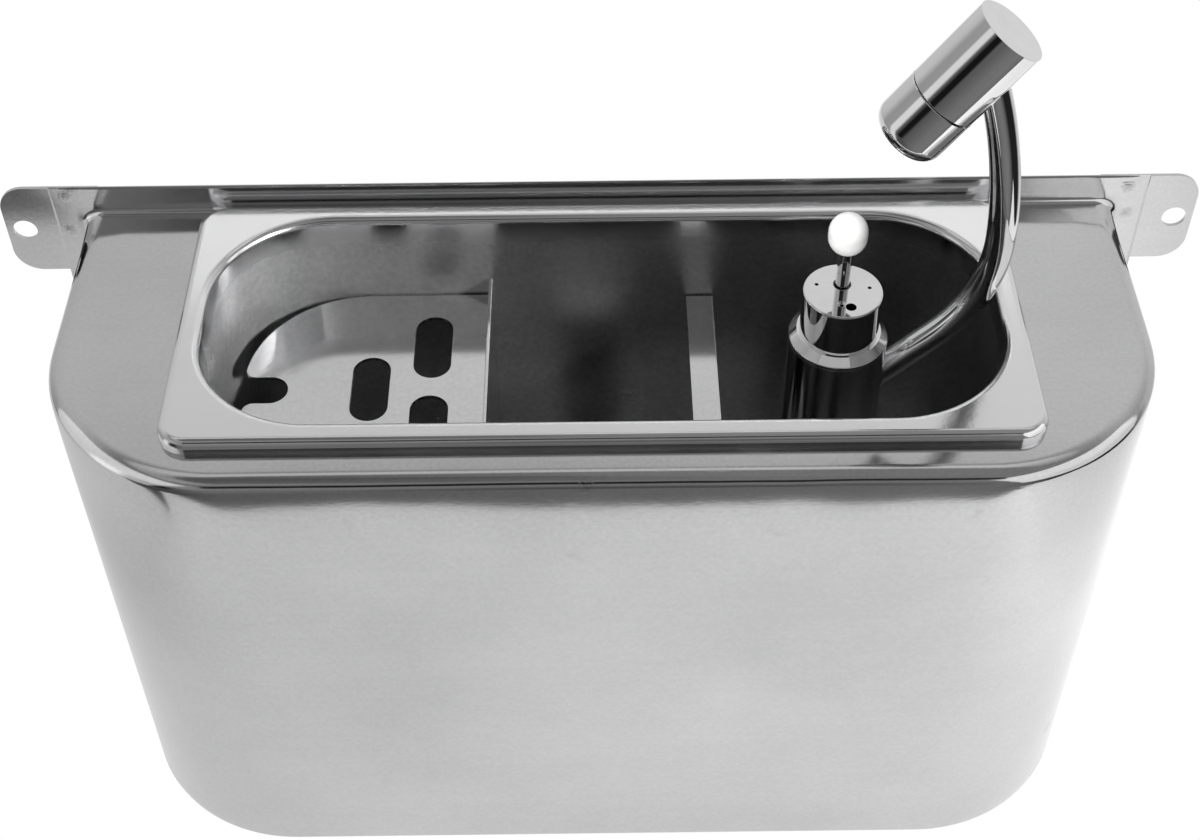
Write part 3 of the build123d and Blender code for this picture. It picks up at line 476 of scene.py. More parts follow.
class NodeSheet:
    """Adds nodes to one material, with short names for the usual steps."""

    def __init__(self, name):
        self.material = bpy.data.materials.new(name)
        self.material.use_nodes = True
        self.tree = self.material.node_tree
        self.shader = self.tree.nodes["Principled BSDF"]
        self.place = self.node("ShaderNodeTexCoord").outputs["Object"]

    def node(self, kind, **values):
        made = self.tree.nodes.new(kind)
        for key, value in values.items():
            setattr(made, key, value)
        return made

    def link(self, start, end):
        self.tree.links.new(start, end)

    def feed(self, name, source):
        """Links a socket to one of the shader's inputs."""
        self.link(source, self.shader.inputs[name])

    def stretched(self, scale):
        """The place on the piece, stretched along some axes."""
        mapping = self.node("ShaderNodeMapping")
        mapping.inputs["Scale"].default_value = scale
        self.link(self.place, mapping.inputs["Vector"])
        return mapping.outputs["Vector"]

    def grain(self, vector, scale, detail=4.0, roughness=0.55):
        texture = self.node("ShaderNodeTexNoise")
        texture.inputs["Scale"].default_value = scale
        texture.inputs["Detail"].default_value = detail
        texture.inputs["Roughness"].default_value = roughness
        self.link(vector, texture.inputs["Vector"])
        return texture.outputs["Fac"]

    def spread(self, value, low, high, start=0.3, end=0.7):
        """A value's usual span spread over another span."""
        remap = self.node("ShaderNodeMapRange")
        remap.inputs["From Min"].default_value = start
        remap.inputs["From Max"].default_value = end
        remap.inputs["To Min"].default_value = low
        remap.inputs["To Max"].default_value = high
        self.link(value, remap.inputs["Value"])
        return remap.outputs["Result"]

    def maths(self, operation, *sources):
        """One step of arithmetic on sockets and plain numbers."""
        made = self.node("ShaderNodeMath", operation=operation)
        for socket, source in zip(made.inputs, sources):
            if isinstance(source, bpy.types.NodeSocket):
                self.link(source, socket)
            else:
                socket.default_value = source
        return made.outputs[0]

    def mixed(self, factor, first, second):
        """A colour between two colours, or between two sockets."""
        mix = self.node("ShaderNodeMix", data_type="RGBA")
        colours = [socket for socket in mix.inputs if socket.type == "RGBA"]
        for socket, source in zip(colours, (first, second)):
            if isinstance(source, bpy.types.NodeSocket):
                self.link(source, socket)
            else:
                socket.default_value = (*source, 1.0)
        self.link(factor, mix.inputs[0])
        return [socket for socket in mix.outputs if socket.type == "RGBA"][0]

    def along(self, axis):
        """How far along one of the piece's axes."""
        parts = self.node("ShaderNodeSeparateXYZ")
        self.link(self.place, parts.inputs[0])
        return parts.outputs[axis]

    def bump(self, height, strength, distance, normal=None):
        made = self.node("ShaderNodeBump")
        made.inputs["Strength"].default_value = strength
        made.inputs["Distance"].default_value = distance
        self.link(height, made.inputs["Height"])
        if normal:
            self.link(normal, made.inputs["Normal"])
        return made.outputs["Normal"]

    def wrinkled(self, low, middle, high):
        """Fine level wrinkles between two heights, strongest at the middle one."""
        rise = self.spread(self.along(2), low=0.0, high=1.0, start=low, end=middle)
        fall = self.spread(self.along(2), low=1.0, high=0.0, start=middle, end=high)
        height = self.grain(self.stretched((260.0, 260.0, 900.0)), scale=1.0, detail=2.0)
        return self.maths("MULTIPLY", self.maths("MULTIPLY", height, rise), fall)

    def marks(self, places, radius):
        """Uneven marks round the given places: 1 at their middles, 0 outside."""
        swirl = self.node("ShaderNodeTexNoise")
        swirl.inputs["Scale"].default_value = 700.0
        self.link(self.place, swirl.inputs["Vector"])
        moved = self.node("ShaderNodeVectorMath", operation="MULTIPLY_ADD")
        self.link(swirl.outputs["Color"], moved.inputs[0])
        moved.inputs[1].default_value = (SWIRL, SWIRL, SWIRL)
        self.link(self.place, moved.inputs[2])
        nearest = None
        for place in places:
            gap = self.node("ShaderNodeVectorMath", operation="DISTANCE")
            self.link(moved.outputs[0], gap.inputs[0])
            gap.inputs[1].default_value = [part + SWIRL / 2 for part in place]
            gap = gap.outputs["Value"]
            nearest = self.maths("MINIMUM", nearest, gap) if nearest else gap
        return self.spread(nearest, low=1.0, high=0.0, start=radius * 0.3, end=radius * 1.5)

    def rounded(self, radius):
        """A normal that rounds sharp edges a little."""
        bevel = self.node("ShaderNodeBevel", samples=4)
        bevel.inputs["Radius"].default_value = radius
        return bevel.outputs["Normal"]


def shade(colour, factor):
    return tuple(min(1.0, channel * factor) for channel in colour)


def satin_steel(name, colour, roughness, brush=(12.0, 900.0, 900.0), wrinkles=None, welds=None):
    """Satin sheet: brushed grain, rolling clouds, dull smears and spots, wrinkles and welds."""
    sheet = NodeSheet(name)
    smears = sheet.grain(sheet.stretched((14.0, 30.0, 22.0)), scale=1.0, detail=5.0, roughness=0.62)
    spots = sheet.grain(sheet.stretched((38.0, 38.0, 60.0)), scale=1.0, detail=3.0, roughness=0.6)
    brushed = sheet.grain(sheet.stretched(brush), scale=1.0, detail=3.0, roughness=0.7)
    peel = sheet.grain(sheet.place, scale=620.0, detail=2.0)
    tone = sheet.grain(sheet.place, scale=9.0, detail=3.0)
    for texture, share in ((smears, 0.6), (brushed, 0.22), (peel, 0.6)):
        tone = sheet.maths("MULTIPLY_ADD", texture, share, tone)
    clouded = sheet.spread(tone, low=0.0, high=1.0, start=0.91, end=1.51)
    tint = sheet.mixed(clouded, shade(colour, 0.9), shade(colour, 1.06))
    if welds:
        burnt = sheet.marks(*welds)
        tint = sheet.mixed(burnt, tint, shade(colour, 0.72))
    sheet.feed("Base Color", tint)
    sheet.shader.inputs["Metallic"].default_value = 1.0
    dull_spots = sheet.spread(spots, low=0.0, high=1.0, start=0.66, end=0.74)
    smeared = sheet.spread(smears, low=roughness * 0.8, high=roughness * 1.25, start=0.3, end=0.75)
    dull = sheet.maths("MULTIPLY_ADD", dull_spots, roughness * 0.9, smeared)
    sheet.feed("Roughness", dull)
    fine = sheet.bump(brushed, strength=0.12, distance=0.00002)
    if wrinkles:
        fine = sheet.bump(sheet.wrinkled(*wrinkles), strength=1.0, distance=0.00001, normal=fine)
    if welds:
        fine = sheet.bump(burnt, strength=0.6, distance=0.00012, normal=fine)
    sheet.feed("Normal", sheet.bump(peel, strength=0.2, distance=0.00003, normal=fine))
    return sheet.material


# Heights between which the basin's walls pass into its rim, which is smoother, fully metal and has
# painted light lifting its colour
RIM_FOOT, RIM_TOP = 0.002, 0.013
# Heights where the fine wrinkles below the housing's bend start, are strongest and end
WRINKLE_HEIGHTS = (-0.012, 0.003, 0.008)
# Where the ears' spot welds and a press mark show on the housing's skin
WELD_PLACES = (
    (-0.2178, -0.0027, 0.0189),
    (-0.2146, -0.0027, 0.0226),
    (-0.2193, -0.0027, 0.0007),
    (0.2162, -0.0027, 0.0173),
    (0.2178, -0.0027, 0.0034),
    (-0.0064, -0.1540, 0.0073),
)


def drawn_steel(name, look):
    """Drawn pan: smoother rim with painted light lifting its colour, duller walls, orange-peel bump and
    dull patches.
    """
    sheet = NodeSheet(name)
    colour, roughness = tuple(look.pan_colour), look.pan_roughness
    peel = sheet.grain(sheet.place, scale=420.0, detail=3.0, roughness=0.6)
    patches = sheet.grain(sheet.place, scale=16.0, detail=4.0, roughness=0.6)
    rim = sheet.spread(sheet.along(2), low=0.0, high=1.0, start=RIM_FOOT, end=RIM_TOP)
    specks = sheet.maths("MULTIPLY_ADD", peel, 0.9, patches)
    speckled = sheet.spread(specks, low=0.0, high=1.0, start=0.65, end=1.25)
    walls = sheet.mixed(speckled, shade(colour, 0.8), shade(colour, 1.16))
    # Painted light: the rim's colour is lifted above the walls' colour to stand in for the light on its
    # top
    bright = shade(colour, look.rim_painted_light_gain), shade(colour, look.rim_painted_light_gain * 1.06)
    flat = sheet.mixed(sheet.spread(patches, low=0.0, high=1.0), *bright)
    sheet.feed("Base Color", sheet.mixed(rim, walls, flat))
    sheet.feed("Metallic", sheet.spread(rim, low=look.pan_metal, high=1.0, start=0.0, end=1.0))
    dull = sheet.spread(patches, low=roughness * 0.85, high=roughness * 1.2, start=0.3, end=0.7)
    polish = sheet.spread(rim, low=1.0, high=look.rim_polish, start=0.0, end=1.0)
    sheet.feed("Roughness", sheet.maths("MULTIPLY", dull, polish))
    dents = sheet.grain(sheet.stretched((260.0, 260.0, 150.0)), scale=1.0, detail=3.0, roughness=0.6)
    dented = sheet.bump(dents, strength=0.5, distance=0.00006)
    sheet.feed("Normal", sheet.bump(peel, strength=0.35, distance=0.00003, normal=dented))
    return sheet.material


def polished(name, colour, roughness, haze=1.6):
    """Mirror plating or turned metal: faint haze, finger smears and a slow ripple."""
    sheet = NodeSheet(name)
    smears = sheet.grain(sheet.place, scale=70.0, detail=5.0, roughness=0.65)
    ripple = sheet.grain(sheet.place, scale=45.0, detail=1.0)
    smeared = sheet.spread(smears, low=0.0, high=1.0)
    sheet.feed("Base Color", sheet.mixed(smeared, shade(colour, 0.96), shade(colour, 1.03)))
    sheet.shader.inputs["Metallic"].default_value = 1.0
    dull = sheet.spread(smears, low=roughness * 0.7, high=roughness * haze, start=0.35, end=0.75)
    sheet.feed("Roughness", dull)
    worn = sheet.rounded(WORN_EDGE)
    sheet.feed("Normal", sheet.bump(ripple, strength=0.05, distance=0.00005, normal=worn))
    return sheet.material


def moulded(name, colour, roughness):
    """Moulded plastic or rubber: fine pores and slight colour variation."""
    sheet = NodeSheet(name)
    pores = sheet.grain(sheet.place, scale=900.0, detail=2.0)
    clouds = sheet.grain(sheet.place, scale=60.0, detail=3.0)
    clouded = sheet.spread(clouds, low=0.0, high=1.0)
    sheet.feed("Base Color", sheet.mixed(clouded, shade(colour, 0.93), shade(colour, 1.04)))
    sheet.feed("Roughness", sheet.spread(clouds, low=roughness * 0.9, high=roughness * 1.15))
    worn = sheet.rounded(WORN_EDGE)
    sheet.feed("Normal", sheet.bump(pores, strength=0.25, distance=0.00003, normal=worn))
    return sheet.material


def finish(kind):
    """The material of that kind, made once."""
    name = kind + "_finish"
    made = bpy.data.materials.get(name)
    if made:
        return made
    look = settings().finish
    steel, rough = tuple(look.steel_colour), look.steel_roughness
    recipes = {
        "satin_housing": lambda: satin_steel(
            name,
            steel,
            rough,
            wrinkles=WRINKLE_HEIGHTS,
            welds=(WELD_PLACES, settings().welds.spot_radius),
        ),
        "satin_insert": lambda: satin_steel(name, shade(steel, 1.16), rough, (900.0, 14.0, 900.0)),
        "satin_ear": lambda: satin_steel(name, steel, look.ear_roughness),
        "drawn_pan": lambda: drawn_steel(name, look),
        "plain_steel": lambda: satin_steel(name, shade(steel, 0.9), rough * 1.2, (500.0, 500.0, 30.0)),
        "chrome": lambda: polished(name, tuple(look.chrome_colour), look.chrome_roughness),
        "turned_brass": lambda: polished(name, tuple(look.brass_colour), 0.22, 1.4),
        "seal_rubber": lambda: moulded(name, tuple(look.rubber_colour), 0.6),
        "white_knob": lambda: moulded(name, tuple(look.knob_colour), 0.42),
        "bush_plastic": lambda: moulded(name, tuple(look.bush_colour), 0.5),
    }
    return recipes[kind]()


def coat(nodes, name):
    """Gives CAD nodes a finish."""
    for node in nodes:
        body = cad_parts[node]
        body.data.materials.clear()
        body.data.materials.append(finish(name))


# Mesh helpers

# Edges that turn by more than this stay sharp
SHARP = radians(32)


def new_piece(name, bm, body, material, sharp=SHARP):
    """Turns a bmesh into a piece that rides on a body."""
    bmesh.ops.recalc_face_normals(bm, faces=bm.faces[:])
    mesh = bpy.data.meshes.new(name)
    bm.to_mesh(mesh)
    bm.free()
    piece = bpy.data.objects.new(name, mesh)
    bpy.context.scene.collection.objects.link(piece)
    mesh.materials.append(finish(material))
    mesh.shade_smooth()
    mesh.set_sharp_from_angle(angle=sharp)
    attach(piece, body)
    return piece


def thicken(piece, thickness):
    """Gives a skin its sheet thickness, inwards, and keeps the result."""
    shell = piece.modifiers.new("sheet", "SOLIDIFY")
    shell.thickness = thickness
    shell.offset = -1.0
    shell.use_even_offset = True
    bpy.context.view_layer.update()
    graph = bpy.context.evaluated_depsgraph_get()
    solid = bpy.data.meshes.new_from_object(piece.evaluated_get(graph))
    piece.modifiers.clear()
    old = piece.data
    piece.data = solid
    bpy.data.meshes.remove(old)
    solid.shade_smooth()
    solid.set_sharp_from_angle(angle=SHARP)
    return piece


def bridge(bm, first, second, closed=False):
    """Faces between two rows of as many vertices."""
    count = len(first) if closed else len(first) - 1
    for i in range(count):
        j = (i + 1) % len(first)
        corners = [first[i], first[j], second[j], second[i]]
        corners = [v for k, v in enumerate(corners) if v not in corners[:k]]
        if len(corners) > 2 and not bm.faces.get(corners):
            bm.faces.new(corners)


def rounded_rect(half_x, half_y, radius, steps=16):
    """Points of a rounded rectangle, counter-clockwise."""
    points = []
    for turn, (sx, sy) in enumerate([(1, 1), (-1, 1), (-1, -1), (1, -1)]):
        cx, cy = sx * (half_x - radius), sy * (half_y - radius)
        for i in range(steps + 1):
            angle = turn * pi / 2 + i / steps * pi / 2
            points.append((cx + radius * cos(angle), cy + radius * sin(angle)))
    return points


def ring_tube(bm, path, radius, sides, closed=True):
    """A round bead along a row of points."""
    rings = []
    count = len(path)
    for i, point in enumerate(path):
        before = path[i - 1] if closed or i else path[i]
        after = path[(i + 1) % count] if closed or i < count - 1 else path[i]
        along = (after - before).normalized()
        across = along.orthogonal().normalized()
        if rings:
            across = (last - along * last.dot(along)).normalized()
        last = across
        up = along.cross(across)
        ring = []
        for k in range(sides):
            turn = 2 * pi * k / sides
            ring.append(bm.verts.new(point + radius * (cos(turn) * across + sin(turn) * up)))
        rings.append(ring)
    for i in range(count if closed else count - 1):
        first, second = rings[i], rings[(i + 1) % count]
        if closed and i == count - 1:
            start = min(range(sides), key=lambda k: (second[k].co - first[0].co).length)
            second = second[start:] + second[:start]
        bridge(bm, first, second, closed=True)
    if not closed:
        bm.faces.new(rings[0])
        bm.faces.new(rings[-1])


# Housing skin

# Rows of faces up the body and out over the cove, and how many of the bend's rows meet the flange's side
HEM_STEPS, WALL_STEPS, BEND_STEPS, COVE_STEPS = 4, 64, 12, 7
SIDE_MEETING = 6
# Faces along the side walls, round each corner and along the front, then along the deck's rear and
# round each corner of its cut-out
SIDE_STEPS, CORNER_STEPS, FRONT_STEPS, DECK_STEPS, CUT_STEPS = 8, 30, 72, 24, 12
# How soon the sheet's waves fade in from the wall and from the bottom edge
REAR_FADE, FOOT_FADE = 0.02, 0.03
# Waves to the metre: long and short ones in the drawn-in sheet, and slow ones along and up the apron
LONG_WAVES, SHORT_WAVES, SLOW_WAVES, SLOW_RISE = 17.0, 44.0, 13.0, 16.0
# How the wall's rows crowd towards the bend, and how soon the pull fades up the bend
ROW_CROWDING, BEND_FADE = 1.6, 1.5


class HousingForm:
    """Working copy of the housing's sizes, with the levels that follow from them."""

    def __init__(self, source):
        for key in source.__annotations__:
            setattr(self, key, getattr(source, key))
        self.top = housing_high.z
        self.deck = self.top - self.upstand
        self.bend_foot = self.deck - self.bend_radius
        self.bottom = housing_low.z
        self.flange_front = housing_high.y - self.sheet
        self.flange_half = housing_high.x
        self.rear = self.flange_front - self.cove_radius


def plan_row(sizes, inset):
    """Points and outward directions of the body's outline, from rear left round to rear right."""
    half = sizes.width / 2 - inset
    front = inset - sizes.depth
    radius = sizes.corner_radius - inset
    row = []
    for i in range(SIDE_STEPS):
        y = sizes.rear + (front + radius - sizes.rear) * i / SIDE_STEPS
        row.append((-half, y, -1.0, 0.0))
    for i in range(CORNER_STEPS):
        angle = pi + i / CORNER_STEPS * pi / 2
        out_x, out_y = cos(angle), sin(angle)
        row.append((radius - half + radius * out_x, front + radius + radius * out_y, out_x, out_y))
    for i in range(FRONT_STEPS):
        row.append(((half - radius) * (2 * i / FRONT_STEPS - 1), front, 0.0, -1.0))
    mirrored = [(-x, y, -out_x, out_y) for x, y, out_x, out_y in reversed(row)]
    return row + [(half - radius, front, 0.0, -1.0)] + mirrored[FRONT_STEPS:]


def pull_at(sizes, along, height):
    """How far the sheet is drawn in below the bend, and its slow waves."""
    drop = max(0.0, sizes.bend_foot - height)
    long_wave = noise.noise(Vector((along * LONG_WAVES, 0.3, 0.0)))
    short_wave = noise.noise(Vector((along * SHORT_WAVES, 4.1, 0.0)))
    swing = long_wave + 0.6 * short_wave
    fade = exp(-drop / (sizes.pull_reach * (1.0 + 0.5 * swing)))
    wave = 1.0 + noise.noise(Vector((along * SLOW_WAVES, height * SLOW_RISE, 2.0)))
    return sizes.pull_depth * (1.0 + 0.75 * swing) * fade + sizes.wave_depth * wave


def body_levels(sizes):
    """Inset, height and share of the pull of each row up the body: hem, wall and bend."""
    levels = [(sizes.hem_width, sizes.bottom, 0.0)]
    for i in range(HEM_STEPS + 1):
        angle = i / HEM_STEPS * pi / 2
        inset = sizes.hem_radius * (1 - sin(angle))
        levels.append((inset, sizes.bottom + sizes.hem_radius * (1 - cos(angle)), 0.0))
    foot = sizes.bottom + sizes.hem_radius
    for i in range(1, WALL_STEPS + 1):
        share = 1 - (1 - i / WALL_STEPS) ** ROW_CROWDING
        levels.append((0.0, foot + (sizes.bend_foot - foot) * share, 1.0))
    for i in range(1, BEND_STEPS + 1):
        angle = i / BEND_STEPS * pi / 2
        inset = sizes.bend_reach * (1 - cos(angle))
        height = sizes.bend_foot + sizes.bend_radius * sin(angle)
        levels.append((inset, height, cos(angle) ** BEND_FADE))
    return levels


def body_rows(bm, sizes, levels):
    """The body's rows of vertices, joined by faces."""
    rows = []
    for inset, z, pull in levels:
        row = plan_row(sizes, inset)
        along = 0.0
        verts = []
        for i, (x, y, out_x, out_y) in enumerate(row):
            if i:
                along += sqrt((x - row[i - 1][0]) ** 2 + (y - row[i - 1][1]) ** 2)
            rear_fade = min(1.0, (sizes.rear - y) / REAR_FADE)
            foot_fade = min(1.0, max(0.0, (z - sizes.bottom) / FOOT_FADE))
            shift = pull * rear_fade * foot_fade * pull_at(sizes, along, z)
            verts.append(bm.verts.new((x - out_x * shift, y - out_y * shift, z)))
        rows.append(verts)
    for first, second in zip(rows, rows[1:]):
        bridge(bm, first, second)
    return rows


def deck_face(bm, sizes, deck_edge):
    """Fills the deck round its cut-out, and gives back its rear line."""
    left, right = deck_edge[0], deck_edge[-1]
    rear_line = [left]
    for i in range(1, DECK_STEPS):
        rear_line.append(bm.verts.new(left.co.lerp(right.co, i / DECK_STEPS)))
    rear_line.append(right)
    basin_low, basin_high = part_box("basin")
    centre_y = (basin_low.y + basin_high.y) / 2
    half_x, half_y = sizes.opening_length / 2, sizes.opening_width / 2
    cut = [
        bm.verts.new((x, centre_y + y, sizes.deck))
        for x, y in rounded_rect(half_x, half_y, sizes.opening_radius, CUT_STEPS)
    ]
    border = []
    for first, second in list(zip(deck_edge, deck_edge[1:])) + list(zip(rear_line, rear_line[1:])):
        border.append(bm.edges.get((first, second)) or bm.edges.new((first, second)))
    for i, vert in enumerate(cut):
        border.append(bm.edges.new((vert, cut[(i + 1) % len(cut)])))
    bmesh.ops.triangle_fill(bm, use_beauty=True, edges=border)
    return rear_line


def rear_outline(sizes, levels, rows, rear_line):
    """The body's rear edge and its directions: up the left side, across the deck, down the right side."""
    left = []
    for row, (inset, z, pull) in zip(rows[1:], levels[1:]):
        angle = 0.0
        if z > sizes.bend_foot:
            angle = atan2(
                (z - sizes.bend_foot) * sizes.bend_reach,
                (sizes.bend_reach - inset) * sizes.bend_radius,
            )
        left.append((row[0], Vector((-cos(angle), 0.0, sin(angle)))))
    across = [(vert, Vector((0.0, 0.0, 1.0))) for vert in rear_line[1:-1]]
    right = [
        (row[-1], Vector((-side.x, 0.0, side.z)))
        for row, (vert, side) in zip(reversed(rows[1:]), reversed(left))
    ]
    return left + across + right


def cove(bm, sizes, outline):
    """The round from the body's rear edge to the wall plane; gives back its last row."""
    last = [vert for vert, side in outline]
    for step in range(1, COVE_STEPS + 1):
        angle = step / COVE_STEPS * pi / 2
        back = Vector((0.0, sizes.cove_radius * sin(angle), 0.0))
        row = []
        for vert, side in outline:
            low = min(1.0, max(0.0, (vert.co.z - sizes.bottom) / sizes.hem_radius))
            reach = sizes.cove_radius * (1 - cos(angle)) * low
            row.append(bm.verts.new(vert.co + side * reach + back))
        bridge(bm, last, row)
        last = row
    return last


def flange_edge(sizes, levels, rear_line):
    """Points on the flange's straight edges, one for each point of the rear outline."""
    side_reach = sizes.flange_half - sizes.width / 2 + sizes.bend_reach
    side_rise = sizes.top - sizes.bend_foot
    left = [(-sizes.flange_half, z) for inset, z, pull in levels[1:-BEND_STEPS]]
    for i in range(1, BEND_STEPS + 1):
        up = min(1.0, i / SIDE_MEETING)
        over = max(0.0, i / SIDE_MEETING - 1.0)
        left.append((over * side_reach - sizes.flange_half, sizes.bend_foot + side_rise * up))
    top = [(vert.co.x, sizes.top) for vert in rear_line[1:-1]]
    right = [(-x, z) for x, z in reversed(left)]
    return [Vector((x, sizes.flange_front, z)) for x, z in left + top + right]


def flange(bm, sizes, root, ends):
    """The flange, from the cove's last row out to its worn edges."""
    starts = [vert.co.copy() for vert in root]
    last = root
    for step in range(1, sizes.flange_steps + 1):
        share = step / sizes.flange_steps
        row = []
        for start, end in zip(starts, ends):
            whole = (end - start).length - 2 * sizes.edge_round
            row.append(bm.verts.new(start + (end - start).normalized() * whole * share))
        bridge(bm, last, row)
        last = row
    row = [
        bm.verts.new(end - (end - start).normalized() * sizes.edge_round)
        for start, end in zip(starts, ends)
    ]
    bridge(bm, last, row)
    back = Vector((0.0, sizes.edge_round / 2, 0.0))
    bridge(bm, row, [bm.verts.new(end + back) for end in ends])


def housing_skin(sizes):
    """The housing's outer face in one mesh: hem, apron, bend, deck, cove and flange."""
    bm = bmesh.new()
    levels = body_levels(sizes)
    rows = body_rows(bm, sizes, levels)
    rear_line = deck_face(bm, sizes, rows[-1])
    root = cove(bm, sizes, rear_outline(sizes, levels, rows, rear_line))
    flange(bm, sizes, root, flange_edge(sizes, levels, rear_line))
    return bm


class DIPPERWELL_OT_housing(bpy.types.Operator):
    """Makes the pressed housing's skin, with the drawn-in sheet below its front bend"""

    bl_idname = "dipperwell.housing"
    bl_label = "Housing"

    def execute(self, context):
        sizes = HousingForm(settings().housing)
        skin = new_piece("housing_skin", housing_skin(sizes), "well", "satin_housing")
        thicken(skin, sizes.sheet)
        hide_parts("housing")
        return {"FINISHED"}


class DIPPERWELL_OT_ears(bpy.types.Operator):
    """Finishes the two wall ears"""

    bl_idname = "dipperwell.ears"
    bl_label = "Wall ears"

    def execute(self, context):
        coat(["ear_left", "ear_right"], "satin_ear")
        return {"FINISHED"}


class DIPPERWELL_OT_basin(bpy.types.Operator):
    """Finishes the drawn basin"""

    bl_idname = "dipperwell.basin"
    bl_label = "Basin"

    def execute(self, context):
        coat(["basin"], "drawn_pan")
        return {"FINISHED"}


class DIPPERWELL_OT_inserts(bpy.types.Operator):
    """Finishes the slotted scoop rest, its leg and the splash partition"""

    bl_idname = "dipperwell.inserts"
    bl_label = "Scoop rest and partition"

    def execute(self, context):
        coat(["scoop_rest", "rest_leg", "splash_partition"], "satin_insert")
        return {"FINISHED"}


class DIPPERWELL_OT_column(bpy.types.Operator):
    """Finishes the rinse column, its collar and its spray cap"""

    bl_idname = "dipperwell.column"
    bl_label = "Rinse column"

    def execute(self, context):
        coat(["column_tube", "column_collar", "column_base", "spray_cap"], "chrome")
        return {"FINISHED"}


def coil_path(spring):
    """The spring's middle line, a little shorter than the solid one, so that the lever can tilt."""
    low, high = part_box("return_spring")
    middle = (low + high) / 2
    radius = (high.x - low.x - spring.wire) / 2
    count = spring.turns * spring.turn_steps
    foot, rise = low.z + spring.wire / 2, high.z - low.z - spring.wire - spring.tilt_room
    path = []
    for i in range(count + 1):
        angle = 2 * pi * i / spring.turn_steps
        side = Vector((radius * cos(angle), radius * sin(angle)))
        path.append(Vector((middle.x + side.x, middle.y + side.y, foot + rise * i / count)))
    return path


class DIPPERWELL_OT_lever(bpy.types.Operator):
    """Finishes the lever, its knob and the valve that it works"""

    bl_idname = "dipperwell.lever"
    bl_label = "Lever and valve"

    def execute(self, context):
        coat(["lever_rod"], "chrome")
        coat(["lever_knob"], "white_knob")
        coat(["swivel_bush", "valve_shoe"], "bush_plastic")
        coat(["valve_insert", "riser_tube"], "turned_brass")
        spring = settings().spring
        bm = bmesh.new()
        ring_tube(bm, coil_path(spring), spring.wire / 2, WIRE_SIDES, closed=False)
        coil = new_piece("return_coil", bm, "lever", "plain_steel", radians(60))
        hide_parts("return_spring")
        return {"FINISHED"}


def saddle(start, along, radius, axis_point, axis, reach, steps):
    """Where a round tube meets a larger round body, as a closed row of points."""
    first = along.orthogonal().normalized()
    second = along.cross(first)
    points = []
    for k in range(steps):
        angle = 2 * pi * k / steps
        side = start + radius * (cos(angle) * first + sin(angle) * second)
        offset = side - axis_point
        flat_offset = offset - axis * offset.dot(axis)
        flat_along = along - axis * along.dot(axis)
        a = flat_along.dot(flat_along)
        b = 2 * flat_offset.dot(flat_along)
        c = flat_offset.dot(flat_offset) - reach**2
        root = sqrt(max(0.0, b * b - 4 * a * c))
        points.append(side + along * ((-b + root) / (2 * a)))
    return points


def solder_blob(bm, place, scale, size, along):
    """A flat lump of solder on the arm, bowed to its round."""
    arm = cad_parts["arm_tube"]
    point, out = arm.closest_point_on_mesh(arm.matrix_world.inverted() @ place)[1:3]
    centre = arm.matrix_world @ point
    side = along.cross(out).normalized()
    ahead = out.cross(side)
    half_length, half_width, height = size
    for vert in bmesh.ops.create_icosphere(bm, subdivisions=3, radius=1.0)["verts"]:
        lump = 1.0 + 0.5 * noise.noise(vert.co * 2.1 + centre * 900.0)
        x, y, z = vert.co * lump * scale
        bow = (y * half_width) ** 2 / (2 * ARM_RADIUS)
        vert.co = centre + ahead * x * half_length + side * y * half_width
        vert.co += out * (z * height - bow)


class DIPPERWELL_OT_arm(bpy.types.Operator):
    """Finishes the arched arm and adds its solder beads"""

    bl_idname = "dipperwell.arm"
    bl_label = "Spray arm"

    def execute(self, context):
        coat(["arm_tube"], "chrome")
        welds = settings().welds
        along = Vector((cos(ARM_RISE), 0.0, sin(ARM_RISE)))
        column = (tube_low + tube_high) / 2
        column_radius = (tube_high.x - tube_low.x) / 2
        start = Vector((column.x, column.y, ARM_START))
        up = Vector((0.0, 0.0, 1.0))
        foot = saddle(start, along, ARM_RADIUS, column, up, column_radius, FOOT_POINTS)
        bm = bmesh.new()
        ring_tube(bm, foot, welds.bead_radius, BEAD_SIDES)
        new_piece("arm_foot_bead", bm, "well", "chrome")
        bm = bmesh.new()
        for place, scale in BLOB_PLACES:
            solder_blob(bm, place, scale, welds.blob_size, along)
        new_piece("arm_solder_blobs", bm, "well", "chrome")
        return {"FINISHED"}


class DIPPERWELL_OT_head(bpy.types.Operator):
    """Finishes the overhead spray head"""

    bl_idname = "dipperwell.head"
    bl_label = "Spray head"

    def execute(self, context):
        coat(["head_body", "head_nozzle"], "chrome")
        coat(["diffuser_disc"], "plain_steel")
        coat(["head_seal", "cap_seal", "insert_seal"], "seal_rubber")
        return {"FINISHED"}


class DIPPERWELL_OT_waste(bpy.types.Operator):
    """Finishes the waste, the standpipe and the fittings under the basin"""

    bl_idname = "dipperwell.waste"
    bl_label = "Waste and fittings"

    def execute(self, context):
        coat(["waste_flange", "standpipe", "overflow_strainer"], "plain_steel")
        coat(["waste_locknut", "column_locknut", "supply_shank"], "turned_brass")
        coat(
            ["waste_gasket", "waste_washer", "column_gasket", "column_washer", "standpipe_seal"],
            "seal_rubber",
        )
        return {"FINISHED"}


# How far in front of the camera the collar's lamp hangs
CAMERA_GAP = 0.02
# Plastic and rubber nodes, which the two plain lamps light
PLAIN_NODES = ("lever_knob", "swivel_bush", "valve_shoe", "cap_seal", "head_seal", "insert_seal")


